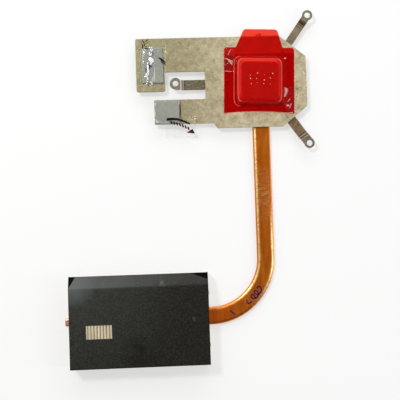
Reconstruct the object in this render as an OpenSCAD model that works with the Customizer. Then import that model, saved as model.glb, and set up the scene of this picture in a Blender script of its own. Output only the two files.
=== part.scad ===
// Heatsink of a compact computer: one flattened heat pipe carries the heat from a
// contact block in a stamped plate to a block of thin fins under a black cover film.
// All sizes are in millimetres. Plan sizes are measured from the centre of the contact
// block, with +X to the plate's cut corners, -Y towards the fins and +Z towards the
// circuit board that the heatsink is screwed to. It lies on z = 0.

/* [Base plate] */
// Distance from the contact centre to the plate's left edge
plate_left = 76.4; // [72:0.1:90]
// Distance from the contact centre to the plate's right edge
plate_right = 29.2; // [26:0.1:34]
// Distance from the contact centre to the plate's upper edge
plate_upper = 28.3; // [26.5:0.1:34]
// Distance from the contact centre to the plate's lower edge
plate_lower = 28.3; // [27:0.1:32]
// Thickness of the plate
plate_t = 1.2; // [0.8:0.1:2]
// Width of the cut at the upper right corner
upper_cut_w = 16.3; // [8:0.1:20]
// Height of the cut at the upper right corner
upper_cut_h = 13.2; // [6:0.1:18]
// Width of the cut at the lower right corner
lower_cut_w = 15.4; // [8:0.1:20]
// Height of the cut at the lower right corner
lower_cut_h = 12.4; // [6:0.1:18]
// Distance from the contact centre to the step in the lower edge
step_left = 27.2; // [24:0.1:31]
// Width of the slope at the step
step_w = 2; // [1:0.1:3]
// Height of the step
step_h = 3.2; // [2:0.1:4]
// Distance from the contact centre to the end wall of the notch
notch_end = 34; // [32:0.1:38]
// Height of the notch's upper wall above the contact centre
notch_upper = 7.2; // [6:0.1:9]
// Depth of the notch's lower wall below the contact centre
notch_lower = 10; // [9.5:0.1:12]
// Width of the upper leg
upper_leg_w = 17.7; // [17:0.1:21]
// Depth of the upper leg's end below the contact centre
upper_leg_drop = 4.8; // [3:0.1:5.2]
// Distance from the contact centre to the lower leg's end
lower_leg_left = 65.8; // [62:0.1:72]
// Radius of the plate's outer corners
plate_r = 1.3; // [0.5:0.1:1.5]
// Radius of the notch's inner corners
notch_r = 1.5; // [0.4:0.1:2.5]

/* [Contact block] */
// Side of the square contact face
contact_w = 25; // [23.5:0.1:25.4]
// Height of the contact block above the plate
contact_h = 2; // [1:0.1:3]
// Side of the square boss that passes through the plate
boss_w = 22; // [18:0.1:22.5]
// Gap between the boss and its window in the plate
boss_gap = 0.1; // [0.05:0.05:0.3]
// Side of the square of thermal paste
paste_w = 21; // [15:0.1:23]
// Thickness of the thermal paste
paste_t = 0.15; // [0.1:0.05:0.3]

/* [Heat pipe] */
// Width of the flattened pipe
pipe_w = 10.8; // [8:0.1:11.5]
// Thickness of the flattened pipe
pipe_t = 3; // [2.6:0.1:4]
// Thickness of the pipe's copper wall
pipe_wall = 0.4; // [0.3:0.05:0.5]
// Thickness of the wick on the inside of the wall
wick_t = 0.4; // [0.3:0.05:0.5]
// Reach of the pipe's full section above the contact centre
pipe_reach = 23.9; // [15:0.1:26]
// Distance from the contact centre down to the start of the bend
bend_drop = 109; // [80:0.5:150]
// Radius of the bend at the middle of the pipe
bend_r = 34.7; // [25:0.1:45]
// Width of the pinched tip at the pipe's ends
tip_w = 4.9; // [4:0.1:6]
// Thickness of the pinched tip
tip_t = 1.8; // [1.2:0.1:2.4]
// Length of the taper to the tip
tip_taper = 4; // [3:0.1:6]
// Length of the tip after the taper
tip_len = 3; // [2:0.1:4]
// Sideways set of the bent tip at the fins
tip_bend = 0.8; // [0:0.1:1.2]
// Distance from the first fin to the start of the tip
tip_start = 0.6; // [0.2:0.1:2]
// Step from the pipe's full section to the start of the taper
tip_shoulder = 0.2; // [0.1:0.05:0.4]

/* [Spring arms] */
// Thickness of the arms' spring steel
arm_t = 0.8; // [0.6:0.1:1]
// Rise of the arms' eyes above the straight part of the arms
arm_rise = 1.4; // [0.8:0.1:2]
// Diameter of the screw holes in the eyes
eye_hole_d = 3.6; // [3:0.1:4]
// Distance of the point where the arms' lines meet from the contact centre
arm_hub_x = 2; // [0:0.1:3]
// Distance from that point to the left arm's hole
left_reach = 54.3; // [52:0.1:56]
// Width of the left arm
left_w = 6.2; // [5:0.1:6.6]
// Radius of the left arm's eye
left_eye_r = 3.6; // [3.4:0.1:3.8]
// Sideways set of the left arm's strip from its hole
left_side = 0.9; // [0:0.1:1]
// Distance from the left arm's hole to its joggle
left_joggle = 3.2; // [2.9:0.1:5]
// Length of the left arm's joggle
left_slope = 1.7; // [1.2:0.1:4]
// Direction of the upper arm in degrees from +X
upper_angle = 54.4; // [50:0.1:58]
// Distance from the meeting point to the upper arm's hole
upper_reach = 50.1; // [48:0.1:56]
// Width of the upper arm
upper_w = 4.9; // [4.6:0.1:6]
// Radius of the upper arm's eye
upper_eye_r = 3.2; // [3.1:0.1:3.6]
// Distance from the upper arm's hole to its joggle
upper_joggle = 3.7; // [3:0.1:5]
// Length of the upper arm's joggle
upper_slope = 4.4; // [1.5:0.1:5]
// Direction of the lower arm in degrees from +X
lower_angle = -54.8; // [-58:0.1:-50]
// Distance from the meeting point to the lower arm's hole
lower_reach = 47.9; // [46:0.1:54]
// Width of the lower arm
lower_w = 6; // [4.6:0.1:6]
// Radius of the lower arm's eye
lower_eye_r = 3.2; // [3.1:0.1:3.6]
// Distance from the lower arm's hole to its joggle
lower_joggle = 4.6; // [3.6:0.1:6]
// Length of the lower arm's joggle
lower_slope = 1.8; // [1.2:0.1:4]

/* [Rivets] */
// Diameter of the rivets' shanks
rivet_d = 2; // [1.6:0.1:2.4]
// Diameter of the rivets' round heads
rivet_head_d = 3.4; // [3:0.1:3.8]
// Height of the rivets' heads
rivet_head_h = 0.7; // [0.5:0.1:0.8]
// Diameter of the flush countersunk ends
rivet_sink_d = 3; // [2.6:0.1:3.4]
// Depth of the countersunk ends
rivet_sink_h = 0.6; // [0.4:0.05:0.7]
// Distance from the meeting point to the inner rivets
rivet_inner = 17.8; // [17.6:0.1:19]
// Distance between an arm's two rivets
rivet_pitch = 4.6; // [4.2:0.1:5]
// Length of arm past the inner rivet
rivet_end = 2.2; // [1.9:0.1:2.6]
// Gap between a rivet and its hole
rivet_gap = 0.02; // [0.01:0.01:0.05]

/* [Fins] */
// Number of fins, with the plain end fin
fin_count = 46; // [30:1:50]
// Distance from one fin to the next
fin_pitch = 1.862; // [1.4:0.001:2.2]
// Thickness of the fin sheet
fin_t = 0.3; // [0.2:0.05:0.4]
// Length of each fin along the air's path
fin_depth = 55.2; // [48:0.1:65]
// Height of each fin
fin_h = 12; // [10:0.1:20]
// Gap between a fin's folded flange and the next fin
fin_gap = 0.06; // [0.04:0.01:0.1]
// Width of the tongues that lock each fin into the next
lock_w = 2.4; // [1.5:0.1:4]
// Length of the tongues past the next fin's sheet
lock_len = 0.4; // [0.2:0.1:0.8]
// Distance from the inlet and outlet edges to the tongues
lock_inset = 12; // [9:0.1:14]
// Gap around a tongue in its slot
lock_gap = 0.04; // [0.03:0.01:0.08]
// Distance from the fins' inlet edge to the middle of the pipe
pipe_from_inlet = 27.2; // [22:0.1:32]
// Distance from the end of the bend to the first fin
block_gap = 1.9; // [0.5:0.1:10]
// Gap between the fins' collars and the pipe
collar_gap = 0.05; // [0.03:0.01:0.1]

/* [Cover film] */
// Thickness of the black cover film
film_t = 0.25; // [0.15:0.05:0.4]
// Length of the film's sloping flap in plan
flap_depth = 7; // [5:0.1:9]
// Drop of the flap from its fold to its edge
flap_drop = 3; // [2:0.1:4]
// Width of the flap's taper at its left end
flap_left_taper = 4.2; // [2:0.1:8]
// Width of the flap's taper at its right end
flap_right_taper = 10.9; // [6:0.1:14]
// Depth of the flap's taper at its right end
flap_right_depth = 4; // [2:0.1:5]
// Thickness of the foam strip under the flap
gasket_t = 1.2; // [0.8:0.1:2]
// Width of the window in the film
window_w = 15.5; // [8:0.1:30]
// Height of the window in the film
window_h = 8.1; // [5:0.1:14]
// Distance from the film's left edge to the window
window_left = 10.1; // [5:0.1:30]
// Distance from the inlet edge to the window
window_from_inlet = 29.2; // [15:0.1:34]

/* [Red cap] */
// Width of the cap's flange
cap_w = 43.6; // [42:0.1:44]
// Depth of the flange below the contact centre
cap_lower = 19.9; // [19.5:0.1:23]
// Height of the flange's shoulders above the contact centre
cap_upper = 21.1; // [19:0.1:24]
// Rise of the flange's hollow lower edge
cap_bow = 1.3; // [0.5:0.1:2]
// Height of the pull tab above the contact centre
tab_upper = 32.5; // [29:0.1:36]
// Width of the tab at the shoulders
tab_root_w = 29; // [24:0.1:34]
// Width of the tab at its top
tab_top_w = 20.8; // [16:0.1:23]
// Sideways lean of the tab
tab_lean = 0.7; // [0:0.1:1]
// Thickness of the cap's sheet
cap_t = 0.3; // [0.2:0.05:0.4]
// Width and length of the dome at its foot
dome_w = 31; // [29.5:0.1:31.6]
// Width of the dome at the edge of its top
dome_top_w = 26; // [24:0.1:27.4]
// Width of the flat of the dome's top
dome_flat_w = 23.4; // [20:0.1:23.8]
// Height of the dome over the plate
dome_h = 4.5; // [4:0.1:6]
// Height of the rounded edge of the dome's top
dome_edge = 0.9; // [0.4:0.1:1.2]
// Turn of the cap on the plate in degrees
cap_turn = -2; // [-3:0.5:0]
// Sideways set of the cap from the contact centre
cap_shift = -0.4; // [-0.8:0.1:0]

/* [Clear tapes] */
// Thickness of the clear tapes on the flange
tape_t = 0.1; // [0.05:0.01:0.15]
// Distance from the dome's foot to the left tape
left_tape_gap = 0.7; // [0.5:0.1:3]
// Length of the left tape
left_tape_h = 14.4; // [8:0.1:18]
// Distance from the dome's foot to the right tape
right_tape_gap = 1.3; // [0.5:0.1:3]
// Length of the right tape
right_tape_h = 17.2; // [10:0.1:20]
// Distance of the right tape's end past the lower edge of the flange
right_tape_over = 0.8; // [0:0.1:1.5]

/* [Thermal pads] */
// Thickness of the thermal pads
pad_t = 1; // [0.5:0.1:2]
// Width of the upper pad
upper_pad_w = 13.3; // [8:0.1:13.5]
// Length of the upper pad
upper_pad_h = 22.4; // [14:0.1:24]
// Distance from the plate's left edge to the upper pad
upper_pad_left = 3.5; // [2:0.1:3.8]
// Distance from the plate's upper edge to the upper pad
upper_pad_drop = 5.4; // [3:0.1:7]
// Width of the lower pad
lower_pad_w = 15.8; // [8:0.1:20]
// Length of the lower pad
lower_pad_h = 14.5; // [8:0.1:14.9]
// Thickness of the clear films on the pads
liner_t = 0.1; // [0.05:0.01:0.15]
// Distance that the upper film stands past its pad at each side
upper_liner_side = 1.8; // [0.5:0.1:1.9]
// Distance that the upper film stands past its pad at each end
upper_liner_end = 1.3; // [0.5:0.1:2]
// Width of the lower film's tongue
tongue_w = 18.5; // [12:0.1:24]
// Distance that the tongue reaches below its pad
tongue_drop = 8.4; // [4:0.1:12]
// Distance that the tongue starts above the pad's lower edge
tongue_lap = 5; // [3:0.1:8]
// Distance that the tongue stands past the pad's right edge
tongue_over = 9.4; // [4:0.1:12]

/* [Hidden] */

// Segments in a quarter turn of a rounded outline
arc_steps = 5;
// Facets of round holes and shanks
round_fn = 48;
// Facets of the pipe's bend
bend_fn = 96;
// Facets of the circle that hollows the flange's lower edge
bow_fn = 192;
// Extra length of cutting tools past a face
past = 1;
// Thinnest slice used as one level of the dome
slice = 0.01;
// Overlap that joins a tongue to its flange
join = 0.01;
// Corner radii of the plate's notch beside its end wall, and of its lower leg
notch_sharp_r = 0.5;
leg_r = 0.65;
// Corner radii of the films and the pads
film_r = 1;
pad_r = 0.5;
// Corner radii of the flange's shoulders and lower edge, and of the tab's root and top
cap_r = 1.9;
cap_low_r = 0.5;
tab_root_r = 0.95;
tab_r = 2.4;
// Corner radii of the dome at its foot and at its top
dome_r = 4;
dome_top_r = 3;
// Corner radius of the pipe's pinched tips
tip_r = 1.2;

// Heights of the layers above the surface that the heatsink lies on
plate_z = pipe_t;
face_z = plate_z + plate_t;
strip_z = plate_z - arm_t;
eye_z = strip_z + arm_rise;
flange_top_z = face_z + cap_t;
pad_top_z = face_z + pad_t;

// Line of the pipe after the bend, and the box of the fin block
pipe_y = -bend_drop - bend_r;
block_w = (fin_count - 1) * fin_pitch + fin_t;
block_right = -bend_r - block_gap;
block_left = block_right - block_w;
inlet_y = pipe_y + pipe_from_inlet;
outlet_y = inlet_y - fin_depth;
fold_y = inlet_y - flap_depth;

// Where the pipe's full section ends at the fins' far side, and the end of its tip
run_end_x = block_left - tip_start + tip_taper;
tip_end_x = block_left - tip_start - tip_len;

// Gap between the wick and the pipe's wall
wick_gap = 0.02;
// Distance from the tube's rims to the walls that close it
end_setback = 0.1;

// Corners of the pads nearest to the plate's left and lower edges
upper_pad_low = [-plate_left + upper_pad_left, plate_upper - upper_pad_drop - upper_pad_h];
lower_pad_low = [-lower_leg_left, -plate_lower + step_h];

// Radius of the circle that hollows the flange's lower edge
bow_r = (pow(cap_w / 2, 2) + pow(cap_bow, 2)) / (2 * cap_bow);

// Holes of the three arms
upper_eye = [arm_hub_x + upper_reach * cos(upper_angle), upper_reach * sin(upper_angle)];
lower_eye = [arm_hub_x + lower_reach * cos(lower_angle), lower_reach * sin(lower_angle)];

// Box of the whole heatsink in plan, whose centre is the origin
x_low = tip_end_x;
x_high = max(plate_right, upper_eye[0] + upper_eye_r, lower_eye[0] + lower_eye_r);
y_low = min(outlet_y, lower_eye[1] - lower_eye_r);
y_high = max(plate_upper, tab_upper, upper_eye[1] + upper_eye_r);

// Moves a sub-part from the contact centre to the centre of the whole heatsink
module placed() {
    translate([-(x_low + x_high) / 2, -(y_low + y_high) / 2, 0]) children();
}

// Outline whose corners are rounded, from points given as [x, y, radius]
function rounded(points) = [
    for (i = [0:len(points) - 1])
        each corner(points[(i + len(points) - 1) % len(points)], points[i],
            points[(i + 1) % len(points)])
];

// Arc that rounds one corner
function corner(before, at, after) =
    let (
        to_before = unit([before[0] - at[0], before[1] - at[1]]),
        to_after = unit([after[0] - at[0], after[1] - at[1]]),
        half = acos(to_before * to_after) / 2,
        centre = [at[0], at[1]] + unit(to_before + to_after) * at[2] / sin(half),
        first = [at[0], at[1]] + to_before * at[2] / tan(half) - centre,
        last = [at[0], at[1]] + to_after * at[2] / tan(half) - centre,
        start = atan2(first[1], first[0]),
        turn = wrapped(atan2(last[1], last[0]) - start),
        steps = max(1, round(arc_steps * abs(turn) / 90))
    )
    at[2] <= 0 ? [[at[0], at[1]]] :
    [for (k = [0:steps]) centre + at[2] * [cos(start + turn * k / steps),
        sin(start + turn * k / steps)]];

function unit(v) = v / norm(v);
function wrapped(a) = a > 180 ? a - 360 : a < -180 ? a + 360 : a;

// Outline of a rectangle with rounded corners
function box_outline(low, high, r) = rounded([
    [low[0], low[1], r], [high[0], low[1], r],
    [high[0], high[1], r], [low[0], high[1], r]
]);

// Base plate
function plate_outline() = rounded([
    [-plate_left, plate_upper, plate_r],
    [-plate_left, -upper_leg_drop, plate_r],
    [-plate_left + upper_leg_w, -upper_leg_drop, plate_r],
    [-plate_left + upper_leg_w, notch_upper, notch_sharp_r],
    [-notch_end, notch_upper, notch_sharp_r],
    [-notch_end, -notch_lower, notch_r],
    [-lower_leg_left, -notch_lower, leg_r],
    [-lower_leg_left, -plate_lower + step_h, leg_r],
    [-step_left - step_w, -plate_lower + step_h, leg_r],
    [-step_left, -plate_lower, leg_r],
    [plate_right - lower_cut_w, -plate_lower, plate_r],
    [plate_right, -plate_lower + lower_cut_h, plate_r],
    [plate_right, plate_upper - upper_cut_h, plate_r],
    [plate_right - upper_cut_w, plate_upper, plate_r]
]);

module base_plate() {
    boss_hole_w = boss_w + 2 * boss_gap;
    color([0.68, 0.64, 0.53])
    placed()
    difference() {
        translate([0, 0, plate_z])
            linear_extrude(plate_t) polygon(plate_outline());
        translate([-boss_hole_w / 2, -boss_hole_w / 2, plate_z - past])
            cube([boss_hole_w, boss_hole_w, plate_t + 2 * past]);
        at_rivets() rivet_hole();
    }
}

// Contact block: a boss through the plate under a wider block on the board's side
module cold_plate() {
    color([0.77, 0.46, 0.29])
    placed()
    union() {
        translate([-boss_w / 2, -boss_w / 2, plate_z])
            cube([boss_w, boss_w, plate_t]);
        translate([-contact_w / 2, -contact_w / 2, face_z])
            cube([contact_w, contact_w, contact_h]);
    }
}

module thermal_paste() {
    color([0.62, 0.62, 0.64])
    placed()
    translate([-paste_w / 2, -paste_w / 2, face_z + contact_h])
        cube([paste_w, paste_w, paste_t]);
}

// Section of a flattened tube, as wide along X and as thick along Y as given
module flat_section(w, t) {
    union() {
        square([w - t, t], center = true);
        for (side = [-1, 1])
            translate([side * (w - t) / 2, 0]) circle(d = t, $fn = round_fn);
    }
}

// Section of a flattened tube's wall, with its outside drawn in by the inset
module tube_section(inset, wall) {
    difference() {
        flat_section(pipe_w - 2 * inset, pipe_t - 2 * inset);
        flat_section(pipe_w - 2 * (inset + wall), pipe_t - 2 * (inset + wall));
    }
}

// Open tube along the pipe's route, shorter than the pipe by the end gap at both ends.
// The straights start at the bend's own ends.
module tube_run(inset, wall, end_gap) {
    union() {
        translate([0, -bend_drop, pipe_t / 2]) rotate([-90, 0, 0])
            linear_extrude(bend_drop + pipe_reach - end_gap) tube_section(inset, wall);
        translate([-bend_r, -bend_drop, pipe_t / 2]) rotate([0, 0, -90])
            rotate_extrude(angle = 90, $fn = bend_fn)
                translate([bend_r, 0]) tube_section(inset, wall);
        translate([-bend_r, pipe_y, pipe_t / 2]) rotate([0, -90, 0])
            linear_extrude(-bend_r - run_end_x - end_gap)
                rotate(90) tube_section(inset, wall);
    }
}

// Pinched end of the pipe, pointing to +X from the full section
module pipe_tip(bend) {
    root = -end_setback - pipe_wall / 2;
    root_t = pipe_t - 2 * tip_shoulder;
    plan = rounded([
        [root, -pipe_w / 2 + pipe_t / 2, 0],
        [tip_taper, -tip_w / 2 + bend, tip_r],
        [tip_taper + tip_len, -tip_w / 2 + bend, tip_r],
        [tip_taper + tip_len, tip_w / 2 + bend, tip_r],
        [tip_taper, tip_w / 2 + bend, tip_r],
        [root, pipe_w / 2 - pipe_t / 2, 0]
    ]);
    side = [
        [root, -root_t / 2], [0, -root_t / 2], [tip_taper, -tip_t / 2],
        [tip_taper + tip_len, -tip_t / 2], [tip_taper + tip_len, tip_t / 2],
        [tip_taper, tip_t / 2], [0, root_t / 2], [root, root_t / 2]
    ];
    intersection() {
        translate([0, 0, -pipe_t]) linear_extrude(2 * pipe_t) polygon(plan);
        rotate([90, 0, 0]) translate([0, 0, -pipe_w])
            linear_extrude(2 * pipe_w) polygon(side);
    }
}

// Wall that closes the tube, set into its sides, with the pinched tip on it
module pipe_end(bend) {
    union() {
        translate([-end_setback - pipe_wall, 0, 0]) rotate([90, 0, 90])
            linear_extrude(pipe_wall) flat_section(pipe_w - pipe_wall, pipe_t - pipe_wall);
        pipe_tip(bend);
    }
}

module heat_pipe() {
    color([0.72, 0.40, 0.20])
    placed()
    union() {
        tube_run(0, pipe_wall, 0);
        translate([run_end_x, pipe_y, pipe_t / 2]) rotate([0, 0, 180])
            pipe_end(tip_bend);
        translate([0, pipe_reach, pipe_t / 2]) rotate([0, 0, 90])
            pipe_end(0);
    }
}

// Sleeve of sintered copper on the inside of the pipe's wall
module pipe_wick() {
    color([0.60, 0.33, 0.18])
    placed()
    tube_run(pipe_wall + wick_gap, wick_t, end_setback + pipe_wall + wick_gap);
}

// Part of the channel where the pipe lies, open to the far side of the fins
module pipe_channel() {
    w = pipe_w + 2 * collar_gap;
    t = pipe_t + 2 * collar_gap;
    union() {
        translate([0, pipe_t / 2]) flat_section(w, t);
        translate([-w / 2, -past]) square([w, pipe_t / 2 + past]);
    }
}

// Tongues of a fin's flanges, or the slots in the next fin that take them
module fin_locks(x, length, gap) {
    for (y = [inlet_y - lock_inset, outlet_y + lock_inset])
        for (z = [0, fin_h - fin_t])
            translate([x, y - lock_w / 2 - gap, z - gap])
                cube([length, lock_w + 2 * gap, fin_t + 2 * gap]);
}

// One fin in its own place: web, two folded flanges, and a collar over the pipe
module fin(flanged) {
    reach = flanged ? fin_pitch - fin_gap : fin_t;
    collar_z = pipe_t + collar_gap;
    difference() {
        union() {
            translate([0, outlet_y, 0]) cube([fin_t, fin_depth, fin_h]);
            translate([0, outlet_y, 0]) cube([reach, fin_depth, fin_t]);
            translate([0, outlet_y, fin_h - fin_t]) cube([reach, fin_depth, fin_t]);
            translate([0, pipe_y - pipe_w / 2, collar_z])
                cube([reach, pipe_w, fin_t]);
            if (flanged)
                fin_locks(reach - join, join + fin_gap + fin_t + lock_len, 0);
        }
        fin_locks(-past, past + fin_t + lock_len + lock_gap, lock_gap);
        translate([-past, pipe_y, 0]) rotate([90, 0, 90])
            linear_extrude(fin_pitch + 2 * past) pipe_channel();
        translate([-past, 0, 0]) rotate([90, 0, 90])
            linear_extrude(fin_pitch + 2 * past) polygon([
                [fold_y, fin_h + past],
                [fold_y, fin_h - gasket_t],
                [inlet_y + past, fin_h - gasket_t - flap_drop * (1 + past / flap_depth)],
                [inlet_y + past, fin_h + past]
            ]);
    }
}

module fins() {
    color([0.78, 0.76, 0.70])
    placed()
    for (i = [0:fin_count - 2])
        translate([block_left + i * fin_pitch, 0, 0]) fin(true);
}

// Last fin, which has no flanges
module end_fin() {
    color([0.78, 0.76, 0.70])
    placed()
    translate([block_right - fin_t, 0, 0]) fin(false);
}

// Foam strip on the fins' sloping inlet edge
module inlet_gasket() {
    color([0.03, 0.03, 0.03])
    placed()
    translate([block_left, 0, 0]) rotate([90, 0, 90])
        linear_extrude(block_w) polygon([
            [fold_y, fin_h], [fold_y, fin_h - gasket_t],
            [inlet_y, fin_h - gasket_t - flap_drop], [inlet_y, fin_h - flap_drop]
        ]);
}

// Plan of the cover film with the tapered ends of its flap
function film_outline() = [
    [block_left, outlet_y], [block_right, outlet_y],
    [block_right, inlet_y - flap_right_depth],
    [block_right - flap_right_taper, inlet_y],
    [block_left + flap_left_taper, inlet_y],
    [block_left, fold_y]
];

module cover_film() {
    window_low = [block_left + window_left, inlet_y - window_from_inlet - window_h];
    color([0.13, 0.13, 0.12])
    placed()
    intersection() {
        translate([block_left, 0, 0]) rotate([90, 0, 90])
            linear_extrude(block_w) polygon([
                [outlet_y, fin_h], [fold_y, fin_h], [inlet_y, fin_h - flap_drop],
                [inlet_y, fin_h - flap_drop + film_t], [fold_y, fin_h + film_t],
                [outlet_y, fin_h + film_t]
            ]);
        linear_extrude(fin_h + past) difference() {
            polygon(film_outline());
            translate(window_low) square([window_w, window_h]);
        }
    }
}

// Spring arm in its own frame: the meeting point at 0 and the hole at the reach
module arm(reach, w, eye_r, side, joggle, slope) {
    root = rivet_inner - rivet_end;
    color([0.46, 0.42, 0.36])
    difference() {
        intersection() {
            linear_extrude(eye_z + 2 * arm_t) union() {
                translate([reach, 0]) circle(r = eye_r, $fn = round_fn);
                translate([root, side - w / 2]) square([reach - root, w]);
            }
            rotate([90, 0, 0]) translate([0, 0, -2 * w]) linear_extrude(4 * w)
                polygon([
                    [root, strip_z], [reach - joggle - slope, strip_z],
                    [reach - joggle, eye_z], [reach + eye_r, eye_z],
                    [reach + eye_r, eye_z + arm_t], [reach - joggle, eye_z + arm_t],
                    [reach - joggle - slope, strip_z + arm_t], [root, strip_z + arm_t]
                ]);
        }
        translate([reach, 0, 0]) cylinder(d = eye_hole_d, h = eye_z + 2 * arm_t, $fn = round_fn);
        for (along = [rivet_inner, rivet_inner + rivet_pitch])
            translate([along, side, 0]) cylinder(d = rivet_d + 2 * rivet_gap,
                h = face_z, $fn = round_fn);
    }
}

// Turns an arm about the point where the arms' lines meet
module at_arm(angle) {
    translate([arm_hub_x, 0, 0]) rotate([0, 0, angle]) children();
}

module arm_left() {
    placed() at_arm(180)
        arm(left_reach, left_w, left_eye_r, left_side, left_joggle, left_slope);
}

module arm_upper() {
    placed() at_arm(upper_angle)
        arm(upper_reach, upper_w, upper_eye_r, 0, upper_joggle, upper_slope);
}

module arm_lower() {
    placed() at_arm(lower_angle)
        arm(lower_reach, lower_w, lower_eye_r, 0, lower_joggle, lower_slope);
}

// Repeats a child at the six rivets
module at_rivets() {
    for (a = [[180, left_side], [upper_angle, 0], [lower_angle, 0]])
        for (along = [rivet_inner, rivet_inner + rivet_pitch])
            at_arm(a[0]) translate([along, a[1], 0]) children();
}

// Countersunk hole for a rivet in the plate
module rivet_hole() {
    union() {
        cylinder(d = rivet_d + 2 * rivet_gap, h = face_z + past, $fn = round_fn);
        translate([0, 0, face_z - rivet_sink_h])
            cylinder(d1 = rivet_d + 2 * rivet_gap, d2 = rivet_sink_d + 2 * rivet_gap,
                h = rivet_sink_h, $fn = round_fn);
    }
}

// Rivet with its head under the arm and its end flush with the plate
module rivet() {
    union() {
        translate([0, 0, strip_z])
            cylinder(d = rivet_d, h = face_z - strip_z, $fn = round_fn);
        translate([0, 0, strip_z - rivet_head_h])
            cylinder(d = rivet_head_d, h = rivet_head_h, $fn = round_fn);
        translate([0, 0, face_z - rivet_sink_h])
            cylinder(d1 = rivet_d, d2 = rivet_sink_d, h = rivet_sink_h, $fn = round_fn);
    }
}

module arm_rivets() {
    color([0.55, 0.52, 0.46])
    placed() at_rivets() rivet();
}

// Thermal pad on the plate, from its low corner
module pad(low, w, h) {
    color([0.58, 0.59, 0.60])
    placed()
    translate([0, 0, face_z]) linear_extrude(pad_t)
        polygon(box_outline(low, low + [w, h], pad_r));
}

module thermal_pad_upper() {
    pad(upper_pad_low, upper_pad_w, upper_pad_h);
}

module thermal_pad_lower() {
    pad(lower_pad_low, lower_pad_w, lower_pad_h);
}

// Clear film on the upper pad
module pad_film_upper() {
    margin = [upper_liner_side, upper_liner_end];
    color([0.85, 0.86, 0.88, 0.3])
    placed()
    translate([0, 0, pad_top_z]) linear_extrude(liner_t)
        polygon(box_outline(upper_pad_low - margin,
            upper_pad_low + [upper_pad_w, upper_pad_h] + margin, film_r));
}

// Clear film on the lower pad, with the tongue that it is pulled off by
module pad_film_lower() {
    tongue_high = lower_pad_low + [lower_pad_w + tongue_over, tongue_lap];
    tongue_low = [tongue_high[0] - tongue_w, lower_pad_low[1] - tongue_drop];
    color([0.85, 0.86, 0.88, 0.3])
    placed()
    translate([0, 0, pad_top_z]) linear_extrude(liner_t) union() {
        polygon(box_outline(lower_pad_low, lower_pad_low + [lower_pad_w, lower_pad_h],
            pad_r));
        polygon(box_outline(tongue_low, tongue_high, film_r));
    }
}

// Turns and shifts a sub-part with the cap
module on_cap() {
    translate([cap_shift, 0, 0]) rotate([0, 0, cap_turn]) children();
}

// Flange of the cap with its pull tab
function cap_outline() = rounded([
    [-cap_w / 2, -cap_lower, cap_low_r],
    [cap_w / 2, -cap_lower, cap_low_r],
    [cap_w / 2, cap_upper, cap_r],
    [tab_root_w / 2, cap_upper, tab_root_r],
    [tab_top_w / 2 + tab_lean, tab_upper, tab_r],
    [-tab_top_w / 2 + tab_lean, tab_upper, tab_r],
    [-tab_root_w / 2, cap_upper, tab_root_r],
    [-cap_w / 2, cap_upper, cap_r]
]);

module rounded_square(w, r) {
    linear_extrude(slice) polygon(box_outline([-w / 2, -w / 2], [w / 2, w / 2], r));
}

// Solid of the dome, drawn in by the inset on every side
module dome(inset) {
    hull() {
        translate([0, 0, face_z - (inset > 0 ? past : 0)])
            rounded_square(dome_w - 2 * inset, dome_r - inset);
        translate([0, 0, face_z + dome_h - dome_edge - inset])
            rounded_square(dome_top_w - 2 * inset, dome_top_r - inset);
        translate([0, 0, face_z + dome_h - slice - inset])
            rounded_square(dome_flat_w - 2 * inset, dome_top_r - inset);
    }
}

module protective_cap() {
    color([0.78, 0.03, 0.02, 0.75])
    placed() on_cap()
    difference() {
        union() {
            translate([0, 0, face_z]) linear_extrude(cap_t) difference() {
                polygon(cap_outline());
                translate([0, -cap_lower - bow_r + cap_bow])
                    circle(r = bow_r, $fn = bow_fn);
            }
            dome(0);
        }
        dome(cap_t);
    }
}

// Clear tape on the flange between the dome's foot and the flange's edge
module cap_tape(low, high) {
    color([0.9, 0.9, 0.9, 0.25])
    placed() on_cap()
    translate([0, 0, flange_top_z]) linear_extrude(tape_t)
        polygon(box_outline(low, high, pad_r));
}

module cap_tape_left() {
    high = [-dome_w / 2 - left_tape_gap, cap_upper - film_r];
    cap_tape([-cap_w / 2, high[1] - left_tape_h], high);
}

module cap_tape_right() {
    low = [dome_w / 2 + right_tape_gap, -cap_lower - right_tape_over];
    cap_tape(low, [cap_w / 2, low[1] + right_tape_h]);
}

base_plate();
cold_plate();
thermal_paste();
heat_pipe();
pipe_wick();
fins();
end_fin();
inlet_gasket();
cover_film();
arm_left();
arm_upper();
arm_lower();
arm_rivets();
thermal_pad_upper();
thermal_pad_lower();
pad_film_upper();
pad_film_lower();
protective_cap();
cap_tape_left();
cap_tape_right();
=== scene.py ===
# Looks of a compact computer's heatsink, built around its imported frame.
# Places are in millimetres from the centre of the contact block, as in the part's own
# drawing, and heights are above the surface that the heatsink lies on.
import math
import random
from contextlib import contextmanager

import bmesh
import bpy
from mathutils import Matrix, Vector, noise


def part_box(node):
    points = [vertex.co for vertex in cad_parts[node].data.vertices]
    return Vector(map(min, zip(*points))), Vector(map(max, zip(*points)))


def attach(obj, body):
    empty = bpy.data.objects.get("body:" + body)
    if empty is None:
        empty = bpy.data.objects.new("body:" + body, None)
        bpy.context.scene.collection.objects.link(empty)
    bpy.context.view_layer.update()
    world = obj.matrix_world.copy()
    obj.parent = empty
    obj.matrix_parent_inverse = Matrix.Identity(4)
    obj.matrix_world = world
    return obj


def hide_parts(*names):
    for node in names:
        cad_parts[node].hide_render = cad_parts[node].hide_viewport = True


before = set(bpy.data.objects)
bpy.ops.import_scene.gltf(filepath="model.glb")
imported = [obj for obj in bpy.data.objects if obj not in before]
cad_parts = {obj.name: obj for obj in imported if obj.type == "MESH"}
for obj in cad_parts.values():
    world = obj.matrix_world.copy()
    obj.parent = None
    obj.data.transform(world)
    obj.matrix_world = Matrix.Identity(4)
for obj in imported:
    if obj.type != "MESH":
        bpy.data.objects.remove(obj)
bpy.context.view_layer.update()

MM = 0.001
BODY = "root"
SHARP_ANGLE = math.radians(40)
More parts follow.
